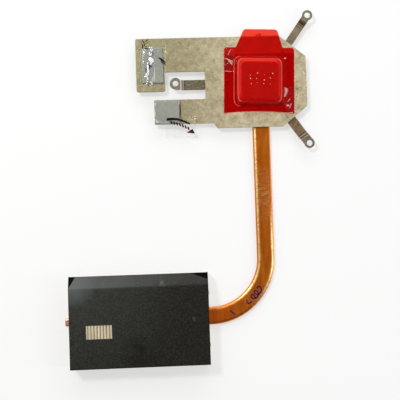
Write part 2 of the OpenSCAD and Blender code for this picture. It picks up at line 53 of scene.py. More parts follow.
# How far a flat face strays up and down, and how thick a clear film is, in millimetres
UNEVEN, CLEAR_T = 0.02, 0.05


# Places

CONTACT_LOW, CONTACT_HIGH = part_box("cold_plate")
DATUM = ((CONTACT_LOW.x + CONTACT_HIGH.x) / 2, (CONTACT_LOW.y + CONTACT_HIGH.y) / 2)


def spot(x, y, z=0.0):
    """A point of the drawing, in metres in the row frame."""
    return Vector((DATUM[0] + x * MM, DATUM[1] + y * MM, z * MM))


def node_box(node):
    """Lowest and highest corner of a CAD node in the drawing's millimetres."""
    low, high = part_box(node)
    shift = Vector((DATUM[0], DATUM[1], 0))
    return (low - shift) / MM, (high - shift) / MM


PLATE_HIGH = node_box("base_plate")[1]
BLOCK_LOW, BLOCK_HIGH = node_box("cover_film")
PIPE_LOW, PIPE_HIGH = node_box("heat_pipe")
FACE_Z = PLATE_HIGH.z
FIN_TOP = node_box("fins")[1].z

ARM_HUB_X = 2.0
LONG_JOGGLE = 3
ARMS = {
    # heading in degrees, hub to hole, hole to joggle, length of the joggle, painted shading of its slope,
    # brightness of the painted highlight on its upper bend, warmth of its steel
    "arm_left": (180.0, 54.3, 3.2, 1.7, (0.36, 0.33, 0.27), 0.85, (1, 1, 1)),
    "arm_upper": (54.4, 50.1, 3.7, 4.4, (0.060, 0.036, 0.012), 0.25, (1, 1, 1)),
    "arm_lower": (-54.8, 47.9, 4.6, 1.8, (0.045, 0.036, 0.022), 0.05, (1.5, 1.22, 1.05)),
}

PIPE_W = 10.8
PIPE_T = PIPE_HIGH.z - PIPE_LOW.z
PIPE_REACH = 23.9
BEND_R = 34.7
PIPE_Y = PIPE_LOW.y + PIPE_W / 2
BEND_DROP = -PIPE_Y - BEND_R
TIP_W, TIP_T = 4.9, 1.8
TIP_TAPER, TIP_LENGTH = 4.0, 3.0
TIP_BEND = 0.8
RUN_END_X = PIPE_LOW.x + TIP_LENGTH + TIP_TAPER

FIN_PITCH, FIN_T, FIN_GAP = 1.862, 0.3, 0.06
FIN_NUMBER = 46
FIN_REACH = FIN_PITCH - FIN_GAP
FOLD_R = 0.75
COLLAR_GAP, COLLAR_INSET, COLLAR_SINK = 0.05, 1, 0.15
LOCK_W, LOCK_INSET, LOCK_LENGTH, LOCK_ROOT = 2.4, 12.0, 0.4, 0.2
LOCK_GAP, LOCK_PLAY = 0.04, 0.01
GASKET_T = 1.2
OUTLET_Y, INLET_Y = BLOCK_LOW.y, BLOCK_HIGH.y
BLOCK_X = (BLOCK_LOW.x, BLOCK_HIGH.x)

FILM_T = BLOCK_HIGH.z - FIN_TOP
FILM_OVERHANG = 0.5
FLAP_DEPTH, FLAP_DROP = 7.0, 3.0
FOLD_Y = INLET_Y - FLAP_DEPTH
FOLD_ZONE = 1.2
FLAP_LEFT_TAPER = 4.2
FLAP_RIGHT_TAPER, FLAP_RIGHT_DEPTH = 10.9, 4.0
WINDOW_W, WINDOW_H = 15.5, 8.1
WINDOW_LEFT, WINDOW_FROM_INLET = 10.1, 29.2

CAP_SHIFT, CAP_TURN = -0.4, math.radians(-2)
CAP_T = 0.3
CAP_W, CAP_LOWER, CAP_UPPER, CAP_BOW = 43.6, 19.9, 21.1, 1.3
TAB_UPPER, TAB_ROOT_W, TAB_TOP_W, TAB_LEAN = 32.5, 29.0, 20.8, 0.7
CAP_SQUARENESS = 9

# Painted glints and sheen, scratches and smudges, as (place, size)
PLATE_GLINTS = [((26.7, 18.4), 1.0), ((27.5, 16.9), 0.7), ((27.9, 4.4), 0.8), ((27.2, 5.2), 0.6)]
FILM_GLINTS = [
    ((-64.2, -121.6), 1.7), ((-63.1, -123.2), 1.3), ((-46.0, -143.4), 1.3), ((-45.6, -144.8), 1.1),
]
PIPE_RUB = ((1.5, -70, PIPE_T), 19)
PIPE_GLINT = ((5, -110, PIPE_T), 34)
FILM_CORNER = ((BLOCK_LOW.x, INLET_Y), 75)
FILM_SHEEN_SPOT = ((BLOCK_LOW.x + 3, INLET_Y - 5, FIN_TOP), 14)
FILM_SMUDGE = ((-80.0, -164.0, FIN_TOP), 12)


def smooth_step(value, start, end):
    share = min(1.0, max(0.0, (value - start) / (end - start)))
    return share * share * (3 - 2 * share)


def bell(offset, width):
    """1 at no offset, fading to 0 on both sides."""
    return math.exp(-(offset / width) ** 2)


def hill(x, y, at_x, at_y, wide_x, wide_y):
    """Height of a round hill, 1 at its top."""
    return math.exp(-((x - at_x) / wide_x) ** 2 - ((y - at_y) / wide_y) ** 2)


def hills(x, y, table):
    """Height of hills and hollows that are listed as (height, x, y, width, depth)."""
    return sum(tall * hill(x, y, *rest) for tall, *rest in table)


def ripple(x, y, size, seed=0.0):
    """Soft unevenness from about -1 to 1, with hollows of the given size in millimetres."""
    return noise.noise(Vector((x / size, y / size, seed)))


# Materials

class Nodes:
    """A node tree whose nodes are made and joined in one step."""

    def __init__(self, tree):
        self.tree = tree

    def put(self, target, value):
        """Sets an input to a number or colour, or joins it to an output."""
        if isinstance(value, bpy.types.NodeSocket):
            self.tree.links.new(value, target)
        else:
            target.default_value = value

    def node(self, kind, inputs=None, **settings):
        made = self.tree.nodes.new("ShaderNode" + kind)
        for name, value in settings.items():
            setattr(made, name, value)
        for socket, value in (inputs or {}).items():
            self.put(made.inputs[socket], value)
        return made

    def result(self, kind, inputs=None, output=0, **settings):
        """What a new node gives."""
        return self.node(kind, inputs, **settings).outputs[output]

    def maths(self, operation, first, second=0.0):
        """One step of arithmetic on a value, with another value or a number."""
        return self.result("Math", {0: first, 1: second}, operation=operation)

    def times(self, first, *others):
        for other in others:
            first = self.maths("MULTIPLY", first, other)
        return first

    def ranged(self, value, low, high, to_low=0.0, to_high=1.0):
        return self.result("MapRange", {
            "Value": value, "From Min": low, "From Max": high, "To Min": to_low, "To Max": to_high,
        })

    def shades(self, value, stops):
        """Colours along a value, from (place, colour) pairs."""
        ramp = self.node("ValToRGB", {"Fac": value})
        marks = ramp.color_ramp.elements
        while len(marks) < len(stops):
            marks.new(0.5)
        for mark, (place, colour) in zip(marks, stops):
            mark.position = place
            mark.color = (*colour, 1)
        return ramp.outputs["Color"]


class Finish(Nodes):
    """A Principled material whose pattern nodes work in the frame's own space."""

    def __init__(self, name, **constants):
        self.material = bpy.data.materials.new(name)
        self.material.use_nodes = True
        super().__init__(self.material.node_tree)
        self.shader = self.tree.nodes["Principled BSDF"]
        self.coordinates = self.result("TexCoord", output="Object")
        self.colour = None
        self.normal = None
        for socket, value in constants.items():
            self.feed(socket.replace("_", " "), value)

    def feed(self, socket, source):
        self.put(self.shader.inputs[socket], source)

    def paint(self, pattern, *stops):
        """Starts the colour with tones along a pattern."""
        self.colour = self.shades(pattern, stops)
        self.feed("Base Color", self.colour)

    def lay(self, over, amount, share=1.0):
        """Lays a plain colour over the present one where the amount says so."""
        if share < 1.0:
            amount = self.ranged(amount, 0, 1, 0, share)
        layers = {"Factor": amount, "A": self.colour, "B": (*over, 1)}
        self.colour = self.result("Mix", layers, "Result", data_type="RGBA")
        self.feed("Base Color", self.colour)

    def roughen(self, pattern, low, high, start=0.3, end=0.7):
        self.feed("Roughness", self.ranged(pattern, start, end, low, high))

    def bump(self, height, depth):
        """Adds unevenness as deep as given in millimetres to what is there."""
        inputs = {"Strength": 1.0, "Distance": depth * MM, "Height": height}
        if self.normal:
            inputs["Normal"] = self.normal
        self.normal = self.result("Bump", inputs)
        self.feed("Normal", self.normal)

    def stretched(self, turn, stretch):
        """Coordinates turned about Z and squeezed along their axes."""
        return self.result("Mapping", {
            "Vector": self.coordinates, "Rotation": (0, 0, math.radians(turn)), "Scale": stretch,
        })

    def grain(self, size, detail=2.0, roughness=0.5, twist=0.0, where=None):
        """Noise whose lumps are about the given size in millimetres."""
        return self.result("TexNoise", {
            "Vector": where or self.coordinates, "Scale": 1 / (size * MM), "Detail": detail,
            "Roughness": roughness, "Distortion": twist,
        })

    def patches(self, start, end, *pattern, **more):
        """1 where a grain is past the end, 0 where it is below the start."""
        return self.ranged(self.grain(*pattern, **more), start, end)

    def spots(self, size):
        """Distance from scattered points that lie about the given size apart."""
        return self.result("TexVoronoi", {"Vector": self.coordinates, "Scale": 1 / (size * MM)})

    def along(self, axis):
        return self.result("SeparateXYZ", {"Vector": self.coordinates}, axis)

    def between(self, axis, start, end, to_start=0.0, to_end=1.0):
        """A value that changes between two places along X or Y."""
        marks = [getattr(spot(place, place), axis.lower()) for place in (start, end)]
        return self.ranged(self.along(axis), *marks, to_start, to_end)

    def vector_maths(self, operation, first, second, output="Value"):
        return self.result("VectorMath", {0: first, 1: second}, output, operation=operation)

    def past(self, start, direction):
        """Distance past a start in a direction."""
        away = self.vector_maths("SUBTRACT", self.coordinates, spot(*start), "Vector")
        return self.vector_maths("DOT_PRODUCT", away, direction)

    def near(self, place, size, core=0.0):
        """1 within the core's share of the size round a place, fading to 0 at the size."""
        gap = self.vector_maths("DISTANCE", self.coordinates, spot(*place))
        return self.ranged(gap, size * MM, size * MM * core)

    def apart(self, value, number):
        return self.maths("ABSOLUTE", self.maths("SUBTRACT", value, number))

    def stripe(self, distance, place, width):
        """1 on a line across a distance, fading to 0 at its edges."""
        return self.ranged(self.apart(distance, place * MM), width / 2 * MM, width / 5 * MM)

    def facing(self, direction, *span):
        """How far the surface faces a direction, from -1 to 1, or where that lies in a span."""
        normal = self.result("NewGeometry", output="Normal")
        share = self.vector_maths("DOT_PRODUCT", normal, direction)
        return self.ranged(share, *span) if span else share

    def upright(self):
        """1 where the surface stands, 0 where it lies flat."""
        return self.ranged(self.maths("ABSOLUTE", self.facing((0, 0, 1))), 0.8, 0.4)

    def hairlines(self, size, width, share):
        """Fine wandering lines on part of a surface."""
        line = self.ranged(self.apart(self.grain(size, 4, 0.65), 0.5), width, width / 4)
        return self.times(line, self.patches(1 - share, 1 - share + 0.06, size * 0.8, twist=0.3))

    def lets_light_through(self, tint):
        """Lamps and bounced light pass the surface, so that what lies under it is lit."""
        path = self.node("LightPath").outputs
        mix = self.result("MixShader", {
            "Fac": self.maths("MAXIMUM", path["Is Shadow Ray"], path["Is Diffuse Ray"]),
            1: self.shader.outputs["BSDF"],
            2: self.result("BsdfTransparent", {"Color": (*tint, 1)}),
        })
        self.put(self.tree.nodes["Material Output"].inputs["Surface"], mix)


def simple_finish(name, pattern, tones, roughness=None, depth=0, places=(0.3, 0.7), **constants):
    """Two tones along one pattern, which also sets the roughness and the unevenness."""
    look = Finish(name, **constants)
    kind, *details = pattern
    grains = getattr(look, kind)(*details)
    look.paint(grains, *zip(places, tones))
    if roughness:
        look.roughen(grains, *roughness)
    if depth:
        look.bump(grains, depth)
    return look


def plate_finish():
    """Champagne passivated steel: cloudy, peppered with specks, browner towards the legs."""
    look = Finish("plate_sheet", Metallic=0.35)
    look.paint(
        look.grain(6, 5, 0.65),
        (0.32, (0.535, 0.450, 0.285)), (0.50, (0.63, 0.535, 0.345)), (0.68, (0.73, 0.635, 0.43)),
    )
    legs = look.between("X", -17, -50)
    look.lay((0.325, 0.285, 0.15), legs, 0.86)
    look.lay((0.29, 0.25, 0.135), look.patches(0.53, 0.68, 1.3, 3, 0.6), 0.42)
    look.lay((0.70, 0.64, 0.47), look.patches(0.56, 0.70, 1.9, 3, 0.6, twist=0.4), 0.42)
    look.lay((0.13, 0.105, 0.055), look.ranged(look.spots(1.7), 0.14, 0.07), 0.7)
    look.lay((0.22, 0.18, 0.10), look.patches(0.60, 0.70, 0.6, 2, 0.6), 0.55)
    look.lay((0.92, 0.84, 0.64), look.patches(0.64, 0.72, 0.8, 2, 0.6, twist=0.2), 0.5)
    look.lay((0.15, 0.120, 0.060), look.hairlines(7, 0.010, 0.55), 0.85)
    look.lay((0.12, 0.085, 0.04), look.upright(), 0.85)
    for place, size in PLATE_GLINTS:
        look.lay((0.95, 0.90, 0.80), look.near((*place, FACE_Z), size, 0.3), 0.8)
    look.roughen(look.grain(3.0, 3), 0.36, 0.56, start=0.35)
    look.bump(look.grain(8, 2), 0.25)
    look.bump(look.grain(1.1, 3), 0.04)
    look.bump(look.grain(0.5, 2, where=look.stretched(28, (0.06, 1, 1))), 0.015)
    return look.material


def copper_finish():
    """Bare copper of the flattened pipe, drawn and handled: streaks, scratches, a redder run, a painted
    highlight along its lit shoulders and painted shade on its other shoulder and steep sides.
    """
    look = Finish("copper", Metallic=0.7)
    look.paint(
        look.grain(3.0, 3, 0.55, where=look.stretched(0, (1.0, 0.16, 1.0))),
        (0.32, (0.66, 0.140, 0.005)), (0.50, (0.80, 0.188, 0.007)), (0.70, (0.93, 0.255, 0.016)),
    )
    look.lay((0.70, 0.135, 0.006), look.patches(0.52, 0.72, 7.0), 0.5)
    red_run = look.between("X", 22 - BEND_R, -2 - BEND_R)
    look.lay((0.88, 0.145, 0.008), red_run, 0.75)
    pinch = look.between("X", RUN_END_X - 1, RUN_END_X - 5)
    look.lay((0.98, 0.60, 0.42), pinch, 0.85)
    for turn in (38, -47):
        rub = look.patches(0.52, 0.62, 0.4, where=look.stretched(turn, (0.10, 1, 1)))
        look.lay((1.0, 0.54, 0.22), look.times(rub, look.near(*PIPE_RUB, 0.1)), 0.6)
    # painted highlight on the shoulders that face the light, and painted shade on the shoulder that faces
    # away
    steep = look.facing((0, 0, 1))
    patchy = look.ranged(look.grain(1.1, 3, 0.6), 0.34, 0.52, 0.35, 1.0)
    patchy = look.times(patchy, look.between("X", -11, -20, 1.0, 0.3))
    inner = look.facing((-0.8, 0.6, 0), 0.06, 0.16)
    outer = look.facing((0.8, -0.6, 0), 0.06, 0.16)
    shoulder = look.times(look.ranged(steep, 0.992, 0.982), look.ranged(steep, 0.885, 0.93))
    lit_shoulder = look.maths("MAXIMUM", inner, look.times(outer, look.near(*PIPE_GLINT, 0.4)))
    look.lay((0.36, 0.085, 0.008), look.times(outer, shoulder), 0.8)
    look.lay((1.0, 0.80, 0.34), look.times(shoulder, lit_shoulder, patchy), 0.97)
    # painted shade on the steep sides, and a painted highlight on those that face right
    rim = look.times(look.ranged(steep, 0.90, 0.80), look.ranged(steep, -0.2, 0.0))
    look.lay((0.62, 0.20, 0.035), rim, 0.9)
    look.lay((1.0, 0.50, 0.17), look.times(rim, look.facing((0.9, -0.4, 0), 0.3, 0.5)), 0.5)
    look.roughen(look.grain(2.2, 3), 0.28, 0.36)
    look.bump(look.grain(1.6, 2), 0.010)
    return look.material


def contact_copper_finish():
    look = Finish("copper_face", Metallic=1.0)
    milled = look.grain(0.4, 2, where=look.stretched(0, (1, 0.03, 1)))
    look.paint(milled, (0.3, (0.78, 0.38, 0.21)), (0.7, (0.83, 0.42, 0.24)))
    look.roughen(milled, 0.34, 0.42)
    look.bump(milled, 0.002)
    return look.material


def fin_finish():
    """Thin rolled sheet of warm, pale metal, with painted shade across each flange of the stack."""
    look = Finish("fin_sheet", Metallic=0.45)
    rolled = look.grain(1.4, 2, where=look.stretched(0, (1, 0.12, 1)))
    look.paint(rolled, (0.3, (0.76, 0.67, 0.47)), (0.7, (0.90, 0.80, 0.57)))
    # painted shade: each flange is darker over part of its width, as if shaded by its rounded fold
    across = look.maths("SUBTRACT", look.along("X"), spot(BLOCK_X[0], 0).x - 0.32 * FIN_PITCH * MM)
    turn = look.maths("MULTIPLY", across, 2 * math.pi / (FIN_PITCH * MM))
    look.lay((0.46, 0.39, 0.25), look.ranged(look.maths("SINE", turn), -0.6, 0.8), 0.72)
    look.roughen(rolled, 0.4, 0.55)
    look.bump(rolled, 0.006)
    return look.material


def film_finish():
    """Matt black film with a fine lighter pepper, a painted sheen that greys it at its left inlet corner and
    lightens its sloping flap.
    """
    look = Finish("black_film", Specular_IOR_Level=0.34)
    fine = look.grain(1.0, 2, 0.6)
    look.paint(
        fine,
        (0.36, (0.0045, 0.0042, 0.0020)), (0.52, (0.0105, 0.0102, 0.0062)), (0.70, (0.032, 0.032, 0.023)),
    )
    clouds = look.ranged(look.grain(4, 3), 0.2, 0.6, 0.5, 1)
    # painted sheen: the film is lighter and greyer round its left inlet corner, where it catches the light
    look.lay((0.062, 0.066, 0.060), look.times(look.near(*FILM_CORNER), clouds), 0.62)
    look.lay((0.13, 0.145, 0.148), look.near(*FILM_SHEEN_SPOT, 0.1), 0.7)
    # painted sheen: the sloping flap is lighter, fading towards the right
    flap = look.between("Y", FOLD_Y - FOLD_ZONE, FOLD_Y + FOLD_ZONE / 2)
    fading = look.between("X", BLOCK_HIGH.x - 12, BLOCK_HIGH.x - 80, 0.0, 0.75)
    streaks = look.ranged(look.grain(9, 3, where=look.stretched(0, (0.5, 1, 1))), 0.3, 0.65, 0.5, 1.0)
    look.lay((0.062, 0.072, 0.070), look.times(flap, fading, streaks))
    for place, size in FILM_GLINTS:
        look.lay((0.20, 0.21, 0.20), look.near((*place, FIN_TOP), size), 0.35)
    look.lay((0.013, 0.010, 0.006), look.between("X", BLOCK_HIGH.x - 45, BLOCK_HIGH.x), 0.45)
    uneven = look.ranged(look.grain(6, 3), 0.36, 0.56, 0.3, 1.0)
    look.lay((0.003, 0.002, 0.0005), look.times(look.near(*FILM_SMUDGE, 0.15), uneven), 0.9)
    look.roughen(look.grain(1.3, 3), 0.38, 0.52)
    look.bump(fine, 0.035)
    look.bump(look.grain(5, 3), 0.10)
    return look.material


STEEL_TONES = [(0.32, (0.20, 0.160, 0.100)), (0.52, (0.275, 0.230, 0.155)), (0.72, (0.40, 0.350, 0.255))]
LIT_STEEL_WAY, LIT_STEEL_START, LIT_STEEL_FULL = (0.6, 0.8, 0), 24, 38


def spring_finish(node):
    """Rolled spring steel, brownish grey, with painted highlights and painted shade along the bends of the
    arm's joggle.
    """
    angle, reach, joggle, slope, slope_shading, bend_highlight, warmth = ARMS[node]
    look = Finish("spring_steel_" + node, Metallic=0.8)
    rolled = look.grain(1.1, 4, 0.6)
    warmed = [(place, tuple(a * b for a, b in zip(tone, warmth))) for place, tone in STEEL_TONES]
    look.paint(rolled, *warmed)
    lit = look.past((ARM_HUB_X, 0), LIT_STEEL_WAY)
    lit = look.ranged(lit, LIT_STEEL_START * MM, LIT_STEEL_FULL * MM)
    look.lay((0.56, 0.45, 0.29), lit, 0.72)
    heading = math.radians(angle)
    out = look.past((ARM_HUB_X, 0), (math.cos(heading), math.sin(heading), 0))
    upper_bend, lower_bend = reach - joggle, reach - joggle - slope
    eye = look.ranged(out, (upper_bend - 0.3) * MM, (upper_bend + 0.3) * MM)
    look.lay((0.38, 0.345, 0.255), eye, 0.65)
    # painted shading of the joggle's slope: bands lit and shaded as the bent sheet turns
    middle = look.stripe(out, (upper_bend + lower_bend) / 2, slope * 1.25)
    look.lay(slope_shading, middle, 0.95 if bend_highlight < 0.5 else 0.8)
    if slope > LONG_JOGGLE:
        golden = look.ranged(out, (upper_bend - 2.4) * MM, (upper_bend - 0.6) * MM)
        look.lay((0.30, 0.24, 0.10), look.times(golden, middle), 0.8)
        look.lay((0.24, 0.15, 0.075), look.stripe(out, lower_bend + 0.6, 2.2), 0.8)
        look.lay((0.46, 0.38, 0.20), look.stripe(out, upper_bend - 3.1, 0.7), 0.6)
    # painted highlights on both bends, and a painted shadow line below the lower bend
    look.lay((0.92, 0.92, 0.86), look.stripe(out, upper_bend, 1.1), bend_highlight)
    look.lay((0.60, 0.57, 0.48), look.stripe(out, lower_bend, 1.0), 0.45 if bend_highlight > 0.1 else 0.15)
    look.lay((0.09, 0.065, 0.035), look.stripe(out, lower_bend - 0.9, 1.0), 0.6)
    look.lay((0.10, 0.08, 0.05), look.upright(), 0.6)
    look.roughen(look.grain(1.6, 3), 0.3, 0.45)
    look.bump(rolled, 0.012)
    return look.material


def pad_finish():
    """Soft grey gap filler, a little cloudy."""
    tones = ((0.27, 0.278, 0.232), (0.34, 0.348, 0.295))
    look = simple_finish("thermal_pad", ("grain", 3.2, 4, 0.6), tones, (0.55, 0.75))
    look.bump(look.grain(0.6, 3), 0.04)
    return look.material


def clear_finish(name, tint, shine):
    tones = (tuple(part * 0.97 for part in tint), tint)
    constants = {"Transmission_Weight": 1.0, "IOR": 1.45, "Alpha": 0.5}
    look = simple_finish(name, ("grain", 2.0, 3), tones, (shine, shine * 2), **constants)
    look.bump(look.grain(0.9, 3), 0.05)
    look.lets_light_through(tint)
    return look.material


def milky_finish(name, tones, cover):
    """Pale patches on the folds of a clear sheet: partly its milky creases, partly painted highlights."""
    look = simple_finish(name, ("grain", 0.7, 3), tones, (0.15, 0.35), places=(0.35, 0.55), Alpha=cover)
    return look.material


def ink_finish(name, *tones):
    look = simple_finish(
        name, ("grain", 0.5, 3), tones, (0.6, 0.75), places=(0.35, 0.65), Specular_IOR_Level=0.1
    )
    return look.material


def cap_distance(look):
    """Distance from the dome's centre, measured as a rounded square."""
    turned = look.result("Mapping", {
        "Vector": look.coordinates, "Location": spot(CAP_SHIFT, 0), "Rotation": (0, 0, CAP_TURN),
        "Scale": (MM, MM, MM),
    }, vector_type="TEXTURE")
    parts = look.node("SeparateXYZ", {"Vector": turned}).outputs
    powers = [look.maths("POWER", look.maths("ABSOLUTE", parts[axis]), CAP_SQUARENESS) for axis in "XY"]
    total = look.maths("ADD", *powers)
    return look.maths("MULTIPLY", look.maths("POWER", total, 1 / CAP_SQUARENESS), MM)


def red_finish():
    """Clear red sheet of the cap: deep on its flange, with painted light and shade on the dome: a painted
    highlight band inside its upper bevel, painted shade on its walls, and thin painted highlight lines along
    its rim and its left foot."""
    look = Finish("red_sheet", Transmission_Weight=0.76, IOR=1.2, Specular_IOR_Level=0.3)
    marks = look.grain(6.0, 2, where=look.stretched(0, (1, 0.4, 1)))
    look.paint(marks, (0.3, (0.72, 0.0150, 0.009)), (0.7, (0.77, 0.0190, 0.012)))
    reach = cap_distance(look)
    ways = ((-1, 0, 0), (1, 0, 0), (0, 1, 0), (0, -1, 0))
    left, right, upper, lower = (look.facing(way, 0.04, 0.16) for way in ways)
    look.lay((0.56, 0.0010, 0.0007), look.ranged(reach, 15.5 * MM, 15.9 * MM))
    # painted sheen: the flange and tab above the dome are lighter
    look.lay((0.68, 0.0170, 0.011), look.between("Y", CAP_UPPER - 4.2, CAP_UPPER - 3.4))
    # painted light and shade on the dome's walls: a highlight band on the upper bevel, lighter side walls, a
    # shaded lower wall and a shaded band round the foot
    bevel = look.stripe(reach, 12.5, 3.4)
    across = look.apart(look.along("X"), spot(CAP_SHIFT, 0).x)
    band = look.times(look.stripe(reach, 12.3, 3.2), look.ranged(across, 12.2 * MM, 10.8 * MM))
    look.lay((1.0, 0.055, 0.030), look.times(band, upper), 0.95)
    look.lay((0.86, 0.022, 0.014), look.times(bevel, look.maths("MAXIMUM", left, right)), 0.5)
    look.lay((0.62, 0.0012, 0.0008), look.times(bevel, lower), 0.95)
    look.lay((0.52, 0.0010, 0.0006), look.stripe(reach, 14.7, 2.0), 0.92)
    # painted highlight lines along the dome's rim and its left foot
    rim = look.stripe(reach, 13.5, 0.75)
    foot = look.stripe(reach, 15.7, 0.7)
    lines = ((rim, left, 0.8), (rim, right, 0.9), (rim, lower, 0.12), (rim, upper, 0.2), (foot, left, 0.85))
    for line, side, share in lines:
        look.lay((1.0, 0.36, 0.28), look.times(line, side), share)
    # painted light: the tab is lighter past the plate's edge, where the white floor shines through it
    look.lay((0.90, 0.080, 0.046), look.between("Y", PLATE_HIGH.y - 0.6, PLATE_HIGH.y + 0.4))
    polish = look.ranged(look.grain(1.2, 3), 0.3, 0.7, 0.05, 0.10)
    look.feed("Roughness", look.maths("ADD", polish, look.ranged(bevel, 0, 1, 0, 0.4)))
    look.bump(look.grain(3.0, 2), 0.02)
    look.lets_light_through((0.97, 0.42, 0.34))
    return look.material


# Meshes

@contextmanager
def opened(mesh):
    """A mesh that is opened for work and written back."""
    work = bmesh.new()
    work.from_mesh(mesh)
    yield work
    work.to_mesh(mesh)
    work.free()


def add_object(name, data):
    made = bpy.data.objects.new(name, data)
    bpy.context.scene.collection.objects.link(made)
    return made


def new_piece(name, mesh, material, replaced=(), smooth=True):
    """A finished piece of the object, riding on its one body."""
    piece = add_object(name, mesh)
    mesh.materials.clear()
    mesh.materials.append(material)
    for face in mesh.polygons:
        face.use_smooth = smooth
    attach(piece, BODY)
    if replaced:
        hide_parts(*replaced)
    return piece


def applied(piece):
    """Fixes the piece's modifiers into its mesh."""
    bpy.context.view_layer.update()
    graph = bpy.context.evaluated_depsgraph_get()
    made = bpy.data.meshes.new_from_object(piece.evaluated_get(graph))
    piece.modifiers.clear()
    piece.data = made
    return piece


def raw_mesh(name, points, faces):
    """A mesh of points given in the drawing's millimetres."""
    mesh = bpy.data.meshes.new(name)
    mesh.from_pydata([spot(*point) for point in points], [], faces)
    return mesh


def closed_mesh(name, points, faces):
    """A closed body, its near points joined and its faces turned outwards."""
    mesh = raw_mesh(name, points, faces)
    with opened(mesh) as work:
        bmesh.ops.remove_doubles(work, verts=work.verts, dist=0.0001 * MM)
        bmesh.ops.recalc_face_normals(work, faces=work.faces)
    return mesh


def sheet_mesh(name, points, faces, thickness):
    """A closed thin sheet from its upper surface, thickened downwards."""
    mesh = raw_mesh(name, points, faces)
    with opened(mesh) as work:
        bmesh.ops.recalc_face_normals(work, faces=work.faces)
        if sum(face.normal.z * face.calc_area() for face in work.faces) < 0:
            bmesh.ops.reverse_faces(work, faces=work.faces)
        loose = [vertex for vertex in work.verts if not vertex.link_faces]
        bmesh.ops.delete(work, geom=loose, context="VERTS")
    holder = add_object(name + "_work", mesh)
    thicken = holder.modifiers.new("thickness", "SOLIDIFY")
    thicken.thickness = thickness * MM
    thicken.offset = -1
    thicken.use_even_offset = True
    made = applied(holder).data
    bpy.data.objects.remove(holder)
    made.name = name
    return made


def even_steps(marks, size):
    """Places that include every mark, about the given size apart."""
    places = []
    for start, end in zip(marks, marks[1:]):
        count = max(1, round((end - start) / size))
        places += [start + (end - start) * k / count for k in range(count)]
    return places + [marks[-1]]


def net_mesh(name, xs, ys, point, thickness, keep=lambda x, y: True):
    """A thin sheet over a net of places, where keep says that there is any."""
    wide = len(xs)
    faces = [
        (r * wide + c, r * wide + c + 1, (r + 1) * wide + c + 1, (r + 1) * wide + c)
        for r in range(len(ys) - 1)
        for c in range(wide - 1)
        if keep((xs[c] + xs[c + 1]) / 2, (ys[r] + ys[r + 1]) / 2)
    ]
    return sheet_mesh(name, [point(x, y) for y in ys for x in xs], faces, thickness)


def add_clear_sheet(name, node, height, step, material, keep=lambda x, y: True):
    """A thin clear sheet over a node's place, and in place of the node."""
    low, high = node_box(node)
    xs, ys = even_steps([low.x, high.x], step), even_steps([low.y, high.y], step)
    mesh = net_mesh(name, xs, ys, lambda x, y: (x, y, height(x, y)), CLEAR_T, keep)
    new_piece(name, mesh, material, (node,))


def ring_faces(rings, count):
    """Faces between closed rings of points that are listed ring by ring."""
    return [
        (r * count + k, r * count + (k + 1) % count, (r + 1) * count + (k + 1) % count, (r + 1) * count + k)
        for r in range(rings - 1)
        for k in range(count)
    ]


def bar_faces(rings, count):
    """Faces between rings, with a flat face at each end."""
    ends = [tuple(range(count)), tuple(reversed(range((rings - 1) * count, rings * count)))]
    return ring_faces(rings, count) + ends


def fan_faces(rings, count):
    """Faces between rings, the last of which closes round one more point."""
    last = (rings - 1) * count
    return ring_faces(rings, count) + [(last + k, last + (k + 1) % count, last + count) for k in range(count)]


def arc_points(x, y, radius, start, end, steps):
    """Points round a centre, between two angles in degrees."""
    angles = [math.radians(start + (end - start) * step / steps) for step in range(steps + 1)]
    return [(x + radius * math.cos(angle), y + radius * math.sin(angle)) for angle in angles]


def dressed(node, material, edge):
    """A rigid CAD node with its sharp edges rounded, in place of the plain one."""
    mesh = bpy.data.meshes.new(node + "_dressed")
    with opened(mesh) as work:
        work.from_mesh(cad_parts[node].data)
        bmesh.ops.remove_doubles(work, verts=work.verts, dist=0.0005 * MM)
        bmesh.ops.dissolve_limit(
            work, angle_limit=math.radians(1), verts=work.verts, edges=work.edges, delimit=set()
        )
    piece = new_piece(node + "_dressed", mesh, material, (node,))
    rounding = piece.modifiers.new("edges", "BEVEL")
    rounding.width = edge * MM
    rounding.segments = 2
    rounding.limit_method = "ANGLE"
    rounding.angle_limit = math.radians(28)
    rounding.harden_normals = False
    piece.modifiers.new("shading", "WEIGHTED_NORMAL").keep_sharp = True
    applied(piece)


def finished_node(node, material):
    """A CAD node that keeps its own mesh and gets its finish."""
    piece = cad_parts[node]
    piece.data.materials.clear()
    piece.data.materials.append(material)


# Heat pipe

SHOULDER = 4
SECTION_STEPS = 26
UPPER_SKIN = 0.3
TIP_ROUNDING = ((0.25, 1.0), (0.5, 1.0), (0.75, 1.0), (0.9, 0.96), (0.97, 0.86), (1.0, 0.62))


def tip_stations(x, y, heading, sign, bend):
    """Stations of a pinched tip, from the full pipe outwards."""
    turn = math.radians(heading)
    direction = Vector((math.cos(turn), math.sin(turn))) * sign
    taper = [(TIP_TAPER * (k / 10), smooth_step(k / 10, 0, 1), 1.0) for k in range(1, 11)]
    taper += [(TIP_TAPER + TIP_LENGTH * share, 1.0, shrink) for share, shrink in TIP_ROUNDING]
    made = []
    for distance, share, shrink in taper:
        width = (PIPE_W + (TIP_W - PIPE_W) * share) * shrink
        thick = (PIPE_T + (TIP_T - PIPE_T) * share) * shrink
        here = Vector((x, y)) + direction * distance
        made.append((here.x, here.y, heading, width, thick, bend * share, 0.0))
    return made


